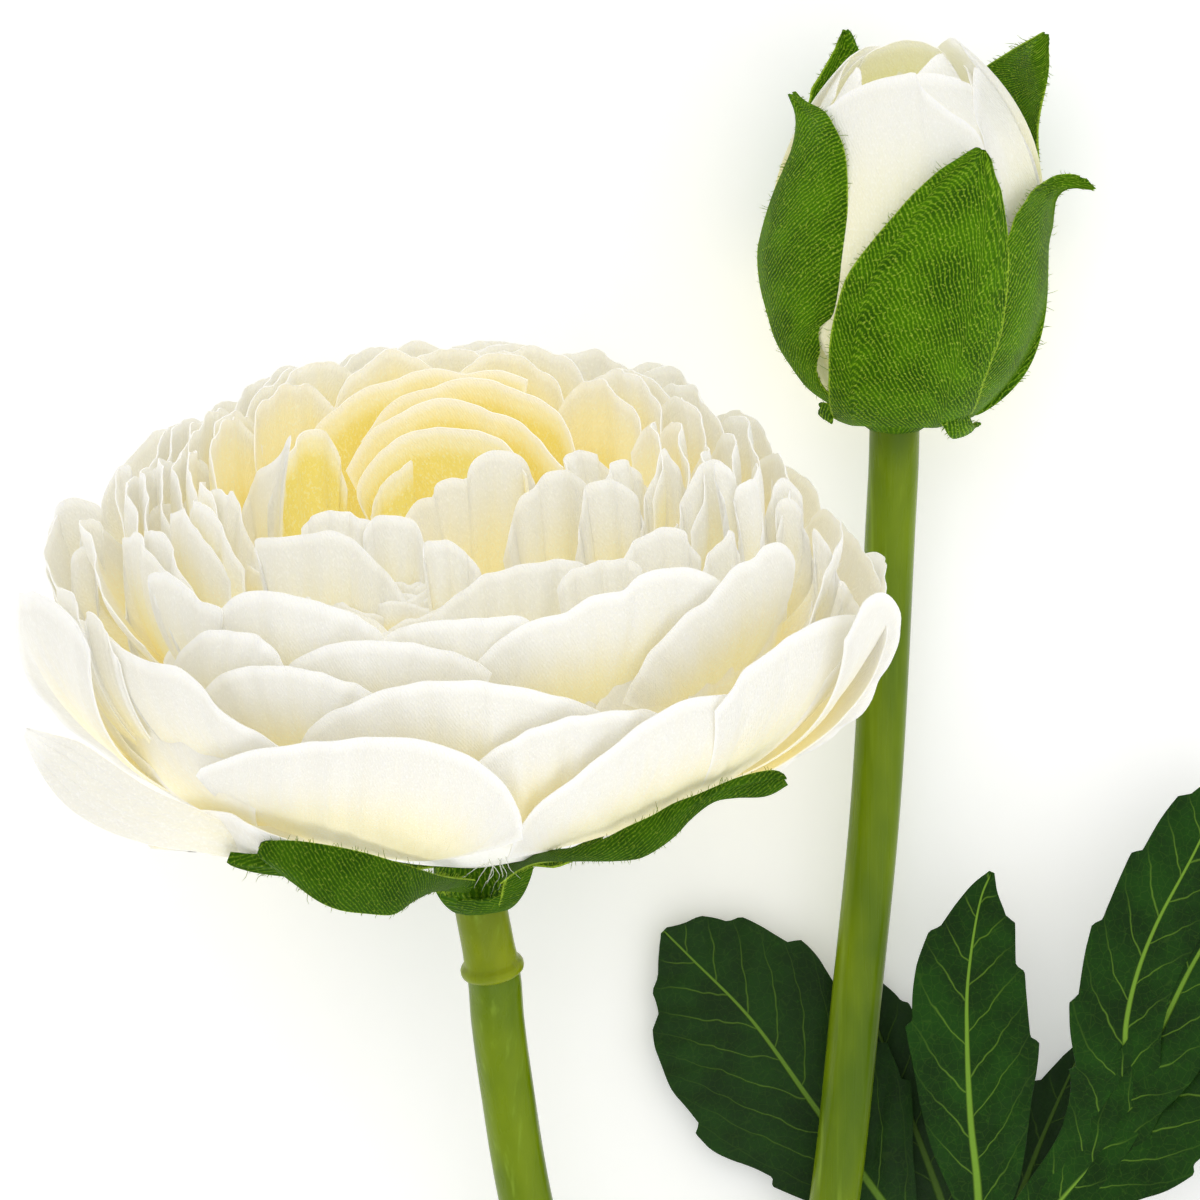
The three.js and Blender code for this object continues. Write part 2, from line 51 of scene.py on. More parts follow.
# ---------------------------------------------------------------- driving dimensions
# The flowers' frames, the stems' routes and the leaves' ribs are the CAD source's own.
BLOOM = {"base": (-12.5, -29.5, 24.5), "rise": 24, "lean": 3}
BUD = {"base": (30.4, 17.2, 9.4), "rise": 16, "lean": -1.2}

PETAL_THICK = 0.28
SEPAL_THICK = 0.4
LEAF_THICK = 0.34
VEIN_SPACING = 4.6
FIBRES_PER_MM = 1.7
FIBRE_RADIUS = 0.045
CLEAR = 0.02  # a blade's middle stays this much more than half its thickness above the table
FLUTE = 0.018  # depth of a stem's flutes against its radius
PLEAT_RISE = 0.22  # of the cloth between a leaf's veins

# Columns across and rows along each kind of blade.
BACK_MESH = (46, 30)
RING_MESH = (36, 24)
DRAWN_MESH = (60, 30)
LOW_MESH = (30, 20)
SIDE_MESH = (50, 30)
REAR_SEPAL_MESH = (30, 34)
FRONT_SEPAL_MESH = (90, 50)
BUD_PETAL_MESH = (36, 34)
BUD_DRAWN_MESH = (80, 40)
BUD_SEPAL_MESH = (130, 50)
LEAF_MESH = (44, 150)

# Where the camera's sight meets a drawn petal's shell.
OUTLINE_STEPS = 400
SHELL_STEPS = 240
SHELL_REACH = 1.12  # share of the line's length up to which the shell is searched
FIRST_HEIGHT = 40.0  # first guess of the height above the table
SIGHT_ROUNDS = 4
EDGE_ON = 0.05  # the sight passes the shell where the sine of the direction is less
EVEN_PASSES = 14
LADDER_END = 0.985  # share of the way to the tip at which a ladder of rungs ends
# A blade with heights of its own: how much its one side is above the other, and its middle above
# both.
SIDE_RISE = 1.6
SIDE_DROP = 1.0
MIDDLE_RISE = 0.8

# Petal tips over the dome: radius, height. The hollow is where there are no petals.
DOME = [(0, 49.6), (8, 50.2), (12, 50.8), (16, 51.5), (20, 51.5), (24, 50.8),
        (28, 49), (32, 46.5), (36, 43.5), (40, 38.5), (44, 34)]
# Heart hidden among the petals, with a pit under the hollow: radius, height.
HEART = [(0, 4.8), (6, 5), (16, 9.8), (26.5, 16.4), (31, 25), (30.5, 30), (26, 34),
         (16, 35.5), (11, 35), (8.5, 32), (4, 30.5), (0, 30)]
HEART_PIT = 7  # the profile's points from here on are centred on the hollow
HOLLOW = (-5, -8)  # middle of the hollow, off the flower's axis
PETAL_ROOT = (5, 5.1)
PETAL_SEED = 6
# Outer rows at the back, petal by petal: direction (270 faces the camera), tip radius, tip height,
# width.
OUTER_ROWS = [
    [(160, 43, 36, 34), (120, 42, 34.5, 35), (76, 42, 34, 35), (30, 42.5, 31, 35), (2, 43, 33, 30)],
    [(10, 41.5, 33, 29), (50, 40, 37, 31), (92, 39.5, 39, 31), (134, 40, 39.5, 31),
     (165, 42.5, 39, 29)],
    [(356, 38, 40, 27), (24, 37, 38.5, 27), (53, 36.5, 41, 27), (85, 36, 43, 28),
     (117, 36, 44.5, 28), (149, 37, 43.5, 27), (180, 37.5, 42, 27)],
]
# Dome rings from the outside in: radius, number of petals, petal width. A ring's middle moves
# from the flower's axis to the hollow as its radius shrinks from the first to the last.
DOME_RINGS = [(33.4, 17, 16), (31.3, 16, 15), (29.2, 15, 15), (27.1, 14, 14.5), (25, 13, 14),
              (23, 12, 13.5)]
# Low petals on the hollow's near side, whose tips stay below the camera's sight past this line.
LOW_RINGS = [(21, 8, 12), (18.5, 8, 11), (16, 7, 10.5), (13.5, 6, 10), (11, 5, 9), (8, 4, 8)]
LOW_SIGHT = (33.2, 31.2)  # left and right
LOW_MARGIN = 12  # degrees by which they spread past the open side
RING_DRIFT = 21.6  # a ring this much smaller than the first one is centred on the hollow
OPEN_SIDE = (200, 348)  # directions in which the petals are drawn one by one
OPEN_DROP = 7  # there the rings are this much lower, and only close the gaps
# Those petals at the bloom's front: the radius and height of their shell at the tip, pleats, and
# the outline of the petal's free edge as the camera sees it.
OUTER_DRAWN = [
    (47, 29, 5, [(310, 838), (285, 850), (255, 856), (236, 858), (200, 852), (150, 845), (100, 828),
     (65, 805), (42, 775), (28, 745), (25, 728), (40, 731), (60, 736), (80, 742), (115, 765),
     (150, 788), (200, 810), (225, 822), (255, 826), (290, 826), (308, 830)]),
    (46.3, 37, 6, [(225, 822), (170, 795), (110, 760), (65, 722), (35, 690), (20, 655), (15, 632),
     (16, 612), (20, 592), (29, 594), (34, 588), (46, 584), (57, 587), (70, 605), (80, 625),
     (90, 650)]),
    (45.5, 36, 6, [(845, 640), (860, 606), (868, 598), (880, 592), (891, 597), (900, 611),
     (902, 626), (898, 647), (882, 674), (869, 702), (850, 722), (820, 745), (785, 768),
     (745, 790)]),
    (43.6, 38, 4, [(92, 668), (70, 630), (57, 588), (66, 590), (74, 594), (78, 610), (86, 640)]),
    (43.3, 36, 9, [(262, 836), (225, 803), (205, 785), (195, 774), (212, 764), (230, 757),
     (262, 748), (300, 743), (350, 739), (400, 738), (440, 745), (480, 762), (505, 785), (520, 812),
     (523, 840)]),
    (42.8, 35.5, 9, [(508, 860), (515, 835), (530, 812), (555, 790), (580, 772), (600, 757),
     (628, 735), (656, 715), (681, 702), (709, 696), (754, 693), (775, 697), (784, 709), (778, 735),
     (755, 760), (720, 785), (680, 808), (640, 828), (600, 845)]),
    (43.4, 36, 6, [(715, 712), (727, 693), (747, 667), (773, 649), (800, 631), (823, 619),
     (839, 616), (853, 615), (863, 617), (852, 640), (838, 662), (815, 690), (795, 712),
     (775, 730)]),
    (43.0, 38, 4, [(100, 690), (90, 650), (86, 612), (95, 615), (110, 640), (120, 665)]),
    (42.3, 38, 6, [(194, 772), (160, 735), (130, 690), (112, 655), (110, 640), (125, 650),
     (145, 662), (175, 666), (195, 680), (225, 712), (268, 739), (310, 768)]),
    (39.4, 30, 5, [(262, 838), (200, 800), (150, 765), (112, 720), (88, 660), (80, 612), (110, 620),
     (150, 660), (205, 710), (262, 770)]),
    (38.5, 24, 4, [(300, 872), (262, 861), (225, 857), (190, 850), (165, 838), (185, 812),
     (225, 812), (262, 830), (300, 845)]),
    (41.6, 38, 7, [(430, 800), (450, 780), (476, 762), (515, 738), (555, 721), (600, 712),
     (647, 711), (670, 722), (680, 740)]),
    (41, 39, 4, [(835, 625), (840, 600), (843, 581), (850, 592), (855, 601), (863, 617)]),
    (40.6, 40, 7, [(300, 745), (308, 730), (325, 715), (347, 705), (370, 695), (405, 685),
     (440, 681), (480, 681), (520, 687), (570, 700), (600, 712), (620, 728)]),
    (39.6, 41.5, 6, [(200, 705), (207, 688), (220, 675), (235, 669), (250, 667), (275, 666),
     (300, 668), (320, 672), (345, 681), (370, 692), (385, 705)]),
    (38.6, 43, 6, [(165, 690), (172, 667), (180, 652), (190, 642), (207, 630), (225, 631),
     (250, 634), (265, 640), (282, 660), (290, 680)]),
    (38.2, 44, 6, [(624, 705), (630, 685), (640, 667), (654, 647), (681, 619), (706, 601),
     (718, 587), (738, 565), (754, 558), (763, 546), (777, 542), (786, 546), (793, 558), (791, 583),
     (789, 606), (782, 640), (770, 662)]),
    (37.9, 43, 6, [(275, 700), (283, 675), (292, 662), (310, 652), (330, 645), (352, 641),
     (380, 641), (407, 642), (435, 648), (462, 656), (480, 664), (492, 674)]),
    (37.2, 46.5, 6, [(470, 675), (478, 660), (490, 648), (500, 640), (515, 630), (530, 622),
     (550, 617), (565, 613), (575, 605), (590, 597), (610, 592), (622, 590), (640, 576), (654, 570),
     (674, 568), (695, 569), (720, 582), (722, 600)]),
    (36.8, 43.5, 4, [(186, 655), (175, 635), (160, 605), (151, 585), (149, 575), (155, 572),
     (160, 573), (167, 571), (175, 576), (190, 590), (200, 602), (208, 603), (217, 606), (222, 610),
     (222, 625)]),
    (36.5, 44.5, 5, [(205, 650), (210, 625), (220, 610), (232, 598), (245, 592), (262, 591),
     (280, 592), (300, 597), (320, 602), (345, 611), (365, 621), (382, 634), (385, 645)]),
    (36.2, 44.5, 5, [(378, 660), (383, 640), (395, 631), (410, 625), (440, 620), (470, 619),
     (500, 617), (520, 616), (530, 622), (528, 640)]),
]
# The first of them isn't on its shell: share of its length from the root, height above the table.
FIRST_HEIGHTS = [(0, 55), (0.15, 56), (0.3, 60), (0.5, 61), (0.8, 58), (1, 56)]
# Petals of the dome, which start with x, y of their shell's middle. A negative radius takes the
# far side of the shell, whose hollow face is seen.
DOME_DRAWN = [
    (3.8, -5, 24, 48, 4, [(558, 590), (562, 578), (575, 569), (590, 563), (610, 560), (627, 559),
     (638, 566), (640, 580)]),
    (0.9, -3.3, 24, 48.5, 5, [(427, 622), (437, 610), (450, 600), (470, 585), (485, 575),
     (500, 570), (520, 565), (545, 561), (565, 560), (582, 563), (590, 575)]),
    (9.7, -6.8, 18, 48.5, 5, [(605, 600), (615, 575), (625, 555), (640, 538), (654, 530),
     (667, 527), (681, 530), (690, 542), (699, 558), (700, 575)]),
    (16.9, -9, 14, 46.5, 3, [(699, 590), (701, 570), (713, 551), (722, 539), (729, 530), (734, 534),
     (736, 548), (738, 562), (735, 580)]),
    (-8.7, -7, 16, 50.6, 5, [(267, 592), (262, 565), (253, 541), (270, 537), (290, 536), (310, 534),
     (330, 530), (352, 540), (380, 565), (400, 590), (415, 620)]),
    (-5.2, -7.6, 12, 50.5, 4, [(368, 560), (365, 530), (375, 517), (390, 515), (405, 517),
     (415, 522), (424, 545), (428, 590), (428, 610)]),
    (-6.6, -6.5, 12, 50.5, 5, [(303, 540), (305, 525), (313, 516), (327, 511), (345, 512),
     (360, 517), (373, 523), (385, 535)]),
    (-3.3, -11.2, 12, 50, 4, [(424, 570), (425, 543), (435, 540), (450, 541), (465, 552),
     (478, 568), (482, 580)]),
    (-0.6, 8.6, 14, 51, 6, [(405, 550), (404, 520), (408, 512), (415, 503), (425, 498), (433, 496),
     (435, 485), (440, 481), (452, 478), (466, 479), (468, 468), (475, 458), (495, 451), (515, 453),
     (527, 463), (534, 477), (535, 488), (525, 497), (518, 510), (512, 535), (500, 568)]),
    (5.6, -0.7, 9, 50, 5, [(503, 562), (510, 530), (520, 497), (530, 491), (537, 487), (545, 473),
     (555, 470), (567, 470), (580, 478), (587, 490), (587, 505), (580, 540), (575, 562)]),
    (4.6, 2.6, 11, 50.2, 4, [(563, 480), (565, 468), (567, 455), (575, 451), (583, 450), (597, 457),
     (607, 470), (608, 480)]),
    (10.9, -3, 9, 49.6, 5, [(576, 560), (580, 520), (583, 500), (588, 485), (600, 480), (612, 479),
     (628, 489), (640, 505), (643, 515), (640, 530), (637, 545)]),
    (7.8, 0.9, 12, 50.5, 4, [(604, 485), (608, 473), (615, 461), (622, 459), (632, 465), (640, 475),
     (648, 490), (650, 505)]),
    (14.5, 1.5, 10, 50.5, 4, [(638, 540), (642, 520), (645, 498), (654, 473), (663, 453),
     (666, 448), (670, 457), (679, 473), (686, 489), (682, 510), (678, 530)]),
    (18.3, -1.6, 10, 49.8, 4, [(677, 545), (679, 520), (686, 491), (695, 471), (705, 463),
     (714, 459), (722, 465), (727, 480), (724, 510), (722, 535)]),
    (19.2, -5.0, 10, 49, 3, [(724, 530), (722, 500), (716, 462), (727, 469), (734, 485), (741, 498),
     (746, 523), (744, 545), (741, 562)]),
    (21, -4.8, 10, 48, 3, [(740, 560), (737, 520), (736, 487), (744, 481), (751, 479), (757, 485),
     (761, 510), (759, 530), (753, 558)]),
    (-14.4, -1, 12, 48.5, 6, [(205, 615), (198, 590), (196, 555), (198, 535), (202, 512),
     (207, 492), (213, 489), (220, 490), (226, 494), (229, 496), (232, 489), (236, 502), (245, 522),
     (251, 542), (260, 562), (268, 587)]),
    (-9.7, 1.7, 10, 50.5, 4, [(252, 545), (246, 525), (243, 502), (247, 490), (252, 482),
     (262, 470), (275, 462), (285, 443), (290, 435), (291, 445), (285, 465), (277, 480), (271, 505),
     (272, 530), (274, 540)]),
    (-5, -8, -14, 51, 7, [(279, 540), (278, 500), (281, 472), (290, 450), (300, 437), (317, 429),
     (325, 431), (335, 445), (342, 470), (347, 500), (345, 522)]),
    (-5, -8, -12.5, 50, 3, [(365, 515), (357, 495), (370, 465), (392, 441), (420, 431), (455, 427),
     (480, 432), (505, 447), (530, 475)]),
    (-5, -8, -9, 47, 2, [(370, 516), (375, 500), (385, 482), (398, 470), (412, 460), (405, 480),
     (398, 510)]),
    (-5, -8, -16.8, 50.8, 3, [(345, 470), (375, 430), (415, 404), (435, 400), (460, 402),
     (490, 410), (515, 420), (545, 447), (565, 467)]),
    (-3.5, -5.5, -18.6, 51, 3, [(360, 440), (395, 402), (430, 387), (460, 379), (490, 381),
     (520, 390), (543, 402), (567, 430), (582, 465)]),
    (-4, -6, -21.5, 51.3, 4, [(300, 460), (325, 418), (355, 395), (385, 382), (405, 374),
     (435, 370), (465, 373), (500, 372), (530, 378)]),
]
# Petals at the flower's left and right limb: shell radius, tip height, pleats, outline.
SIDE_DRAWN = [
    (6, 41, 5, [(75, 640), (57, 590), (53, 575), (50, 555), (49, 527), (54, 512), (62, 501),
     (72, 497), (85, 500), (100, 506), (103, 530)]),
    (5, 39, 3, [(90, 625), (80, 600), (73, 585), (71, 572), (72, 560), (76, 551), (81, 547),
     (86, 545), (94, 555), (97, 580), (99, 605), (97, 618)]),
    (5, 40.5, 3, [(95, 600), (80, 560), (82, 535), (84, 527), (89, 519), (95, 521), (101, 523),
     (104, 560)]),
    (6, 43, 4, [(125, 620), (113, 583), (107, 555), (103, 530), (102, 505), (106, 490), (111, 478),
     (120, 466), (130, 465), (132, 500)]),
    (6, 41.5, 3, [(141, 660), (130, 630), (124, 597), (125, 570), (129, 547), (135, 556),
     (142, 572), (152, 594), (168, 622), (184, 651)]),
    (6, 41.5, 4, [(800, 640), (812, 600), (814, 560), (814, 528), (822, 538), (830, 551),
     (839, 576), (841, 583), (837, 606), (830, 619)]),
    (7, 46, 5, [(152, 590), (140, 568), (134, 545), (131, 527), (133, 505), (140, 490), (150, 472),
     (160, 465), (171, 463), (185, 459), (200, 460), (207, 465), (200, 500)]),
    (6, 43.5, 4, [(779, 645), (775, 600), (776, 540), (778, 503), (789, 498), (800, 507),
     (801, 523), (809, 539), (815, 569), (811, 594), (803, 619), (798, 633)]),
    (5, 44, 3, [(163, 585), (158, 570), (153, 550), (150, 530), (150, 515), (153, 509), (160, 505),
     (172, 504), (179, 507), (178, 530)]),
    (5, 45, 3, [(183, 598), (178, 585), (172, 565), (170, 547), (172, 530), (175, 520), (184, 503),
     (195, 490), (197, 505), (194, 525), (195, 560), (197, 592)]),
    (6, 45, 4, [(755, 560), (762, 530), (770, 500), (775, 485), (785, 478), (795, 487), (800, 502),
     (798, 530), (790, 560)]),
]

BLOOM_CUP = [(0, -1.6), (3.2, -1.6), (4.1, -0.6), (4.5, 1.2), (4.4, 2.8), (3.4, 4.2), (0, 4.3)]
BLOOM_SEPALS = [(122, 29, 11.5, 17), (52, 29, 11, 17)]
# Sepals in front: the line whose turned shell they lie on, the grain's slant, and the outline.
CALYX_DRAWN = [
    (((2.4, 1.6), (15, 3), (33, 8), (47, 26)), -0.7, [(462, 888), (434, 891), (413, 901),
     (400, 911), (391, 915), (366, 914), (340, 911), (319, 903), (297, 888), (276, 873), (261, 860),
     (259, 847), (267, 839), (289, 838), (319, 842), (361, 851), (404, 864), (443, 876),
     (475, 880)]),
    (((2.4, 2), (12, 5.5), (30, 11), (40, 24)), -0.5, [(500, 884), (520, 870), (539, 863),
     (576, 861), (614, 861), (640, 858), (657, 849), (674, 836), (691, 817), (713, 800), (734, 796),
     (764, 794), (781, 785), (787, 779), (777, 771), (743, 776), (717, 786), (696, 795), (674, 803),
     (653, 815), (627, 827), (606, 838), (584, 846), (541, 852), (511, 858)]),
    (((2.4, 1.8), (14, 4.5), (30, 9), (43, 24)), 0.4, [(468, 892), (400, 888), (330, 880),
     (271, 874), (246, 869), (229, 862), (226, 857), (246, 857), (270, 856), (330, 858), (400, 868),
     (474, 882)]),
    (((1.5, 0.2), (5, -1.2), (8, -0.4), (9.5, 5)), 1.2, [(437, 876), (434, 889), (447, 896),
     (464, 899), (470, 903), (462, 910), (457, 900), (486, 899), (503, 894), (520, 881), (534, 866),
     (520, 862), (505, 868)]),
]
# The first three start at the cup and then keep to the petals: share of the length from the cup,
# height above the table.
SEPAL_HEIGHTS = [
    [(0, 30), (0.05, 38), (0.12, 50), (0.3, 58.5), (0.5, 62.5), (0.7, 64.5), (1, 62)],
    [(0, 30), (0.06, 40), (0.15, 54), (0.3, 59.5), (0.45, 62), (0.6, 61.5), (0.75, 60.5), (0.9, 57),
     (1, 54)],
    [(0, 29.4), (0.05, 36), (0.12, 46), (0.3, 55), (0.5, 59.5), (0.75, 60.5), (1, 59)],
]

# Threads of glue: points in the view's pixels with a height above the table, and the radius.
THREAD_SEED = 3
THREAD_STEPS = 24
THREAD_END = 0.35  # of the radius
GLUE = [
    ([(500, 846, 50), (497, 858, 45), (492, 870, 37), (487, 884, 31)], 0.14),
    ([(504, 848, 50), (501, 862, 45), (503, 876, 36), (498, 890, 30)], 0.1),
    ([(494, 852, 49), (488, 864, 44), (480, 876, 36), (474, 888, 31)], 0.07),
    ([(490, 856, 48), (494, 872, 41), (486, 882, 36), (481, 893, 31)], 0.05),
    ([(506, 852, 49), (510, 866, 44), (517, 874, 37), (522, 880, 33)], 0.05),
    ([(486, 862, 45), (478, 866, 44), (470, 872, 37), (462, 878, 33)], 0.05),
    ([(499, 856, 48), (507, 872, 41), (505, 884, 33), (511, 892, 31)], 0.04),
    ([(492, 860, 48), (500, 874, 41), (494, 886, 33), (490, 898, 31)], 0.04),
]

BUD_HEART = [(0, 2), (5, 2.6), (9.6, 7), (10.6, 14), (10.4, 21), (8.6, 28), (4.6, 33), (0, 33)]
BUD_SHELL = ((8.5, 4), (15.5, 11), (17, 27), (5.2, 40.5))
# Petals at the bud's back: direction, tip radius, tip height, width, belly.
BUD_PETALS = [(35, 6.2, 39, 20, 12.6), (90, 6.0, 39.6, 20, 12.8), (140, 6.2, 39, 20, 12.5)]
# The others: how wide their shell is against the one above, which side of it (-1 in front), how
# yellow with painted warm shade, and the outline.
BUD_DRAWN = [
    (1.03, -1, 0.1, [(800, 290), (798, 200), (812, 140), (826, 110), (838, 100), (848, 92),
     (859, 87), (880, 79), (899, 75), (909, 73), (914, 71), (922, 87), (936, 100), (951, 112),
     (967, 122), (979, 135), (986, 153), (990, 200), (985, 270)]),
    (0.97, -1, 0.15, [(890, 170), (893, 110), (903, 82), (918, 74), (930, 73), (946, 75), (962, 80),
     (973, 86), (976, 103), (982, 120), (990, 150), (995, 200)]),
    (1.0, -1, 0.1, [(1000, 290), (1005, 215), (998, 184), (986, 153), (982, 134), (975, 116),
     (973, 89), (975, 66), (986, 84), (1000, 105), (1015, 124), (1025, 142), (1032, 157),
     (1037, 182), (1041, 220), (1038, 280)]),
    (0.93, -1, 0.35, [(836, 150), (838, 108), (846, 84), (857, 67), (860, 72), (861, 95),
     (864, 125)]),
    (0.98, 1, 0.55, [(806, 190), (812, 130), (819, 105), (825, 92), (832, 77), (846, 61), (859, 51),
     (872, 46), (882, 47), (900, 60)]),
    (0.9, 1, 0.8, [(858, 110), (859, 80), (860, 66), (867, 54), (883, 46), (899, 41), (909, 40),
     (925, 43), (936, 48), (943, 53), (955, 70), (960, 100)]),
    (0.96, 1, 0.4, [(932, 100), (935, 60), (938, 47), (952, 38), (959, 44), (967, 55), (975, 65),
     (982, 80), (990, 120)]),
    (0.82, -1, 0.3, [(903, 120), (910, 86), (925, 66), (942, 53), (951, 65), (957, 78),
     (960, 105)]),
]
BUD_CUP = [(0, 0.7), (3, 0.8), (3.8, 1.4), (4.8, 2.1), (4.6, 2.6), (0, 2.6)]
# Sepals: which side of their shell, the shell's line, the grain's slant, and the outline.
BUD_SEPALS = [
    (-1, ((6.6, 2.3), (14.8, 5), (19.4, 20), (11.2, 38)), 0.52, [(836, 424), (830, 405), (829, 378),
     (830, 341), (836, 310), (847, 276), (872, 241), (896, 213), (909, 198), (940, 170), (959, 158),
     (972, 150), (981, 147), (990, 159), (994, 174), (1000, 190), (1004, 211), (1008, 244),
     (1008, 273), (1005, 307), (1000, 337), (993, 356), (983, 383), (974, 409), (960, 427)]),
    (-1, ((6, 2.2), (14.2, 5), (19, 19), (8.4, 40)), -0.93, [(852, 415), (828, 402), (808, 388),
     (791, 366), (776, 341), (767, 312), (760, 283), (758, 251), (761, 235), (766, 216), (774, 192),
     (784, 169), (793, 147), (797, 121), (795, 108), (789, 92), (793, 90), (803, 100), (825, 112),
     (834, 126), (842, 142), (846, 158), (848, 195), (846, 240), (841, 283), (834, 314), (819, 328),
     (820, 349), (816, 370), (826, 391), (850, 405)]),
    (-1, ((6, 2.2), (14.2, 4.6), (18.6, 20), (13, 34)), -0.5, [(955, 420), (985, 340), (995, 290),
     (1003, 250), (1010, 232), (1015, 216), (1024, 203), (1031, 192), (1041, 184), (1054, 176),
     (1068, 174), (1084, 178), (1098, 190), (1081, 188), (1066, 190), (1058, 198), (1055, 211),
     (1053, 226), (1049, 243), (1048, 268), (1046, 312), (1040, 341), (1029, 368), (1014, 388),
     (995, 405), (972, 419)]),
    (1, ((6, 2), (14.2, 4), (18, 20), (10.5, 42)), -0.5, [(765, 260), (775, 200), (792, 140),
     (809, 101), (811, 89), (819, 76), (832, 52), (844, 29), (850, 32), (855, 42), (862, 58),
     (880, 95), (900, 160), (905, 240)]),
    (1, ((6, 2), (14.2, 4), (18, 20), (12.5, 42)), -0.7, [(950, 230), (958, 140), (969, 92),
     (979, 72), (988, 65), (999, 58), (1015, 48), (1031, 39), (1046, 32), (1048, 50), (1049, 65),
     (1046, 87), (1041, 108), (1038, 130), (1040, 180), (1042, 260)]),
    (-1, ((5.5, 1.2), (7, 0.8), (8.6, 1), (9, 4)), 1.3, [(832, 424), (828, 421), (823, 418),
     (819, 413), (822, 409), (820, 404), (826, 403), (832, 406)]),
    (-1, ((5.5, 1.2), (7, 0.4), (8.6, 0.4), (9, 3)), 0.2, [(938, 418), (944, 428), (950, 437),
     (960, 442), (969, 439), (980, 434), (975, 428), (972, 422), (968, 412)]),
]

BLOOM_STEM_RADIUS = 2.75
BUD_STEM_RADIUS = 2.6
MAIN_STEM_RADIUS = 3.1
LEAF_STEM_RADIUS = 1.5
FORK = (12, -113, 6.4)
MAIN_STEM_MIDDLE = (13.4, -130, 4.6)
STEM_END = (15, -148, 3.05)
MAIN_STEM_TAPER = (1.04, 0.97)  # of the radius, at the fork and at the cut end
STEM_SIDES = 28
STUB_TOP = (-12.45, -30.4, 24.1)
STUB_END = (-10.95, -38.4, 20.5)
COLLAR_RADIUS = 3.3
BLOOM_STEM = [(-11.2, -37.2, 21), (-10.8, -39, 20.2), (-10.5, -43, 18.7), (-9.4, -51.2, 16.3),
    (-7.7, -61.4, 13.8), (-2.5, -82, 9.4), (5, -100, 7)]
BUD_STEM = [(30.5, 18.4, 9.6), (30.4, 14, 8.9), (30.1, 8, 8.1), (28.6, -20.5, 7.5),
    (26.6, -40.9, 7.7), (24.4, -61.4, 7.8), (20.6, -84, 7.2), (16.4, -101, 6.8)]
LEAF_STEM = [(38.2, -76.9, 4.6), (33, -86.5, 4.8), (23, -101, 5.6)]

HUB = (39.4, -74.7, 4.6)
HUB_RADIUS = 2.0
TOOTH_DROP = 0.012  # share of the leaf's length over which a tooth drops back
LEAF_DARK = {"broad": 0.45, "rear": 1.0, "small": 1.0}  # how much darker a leaf's colour is made
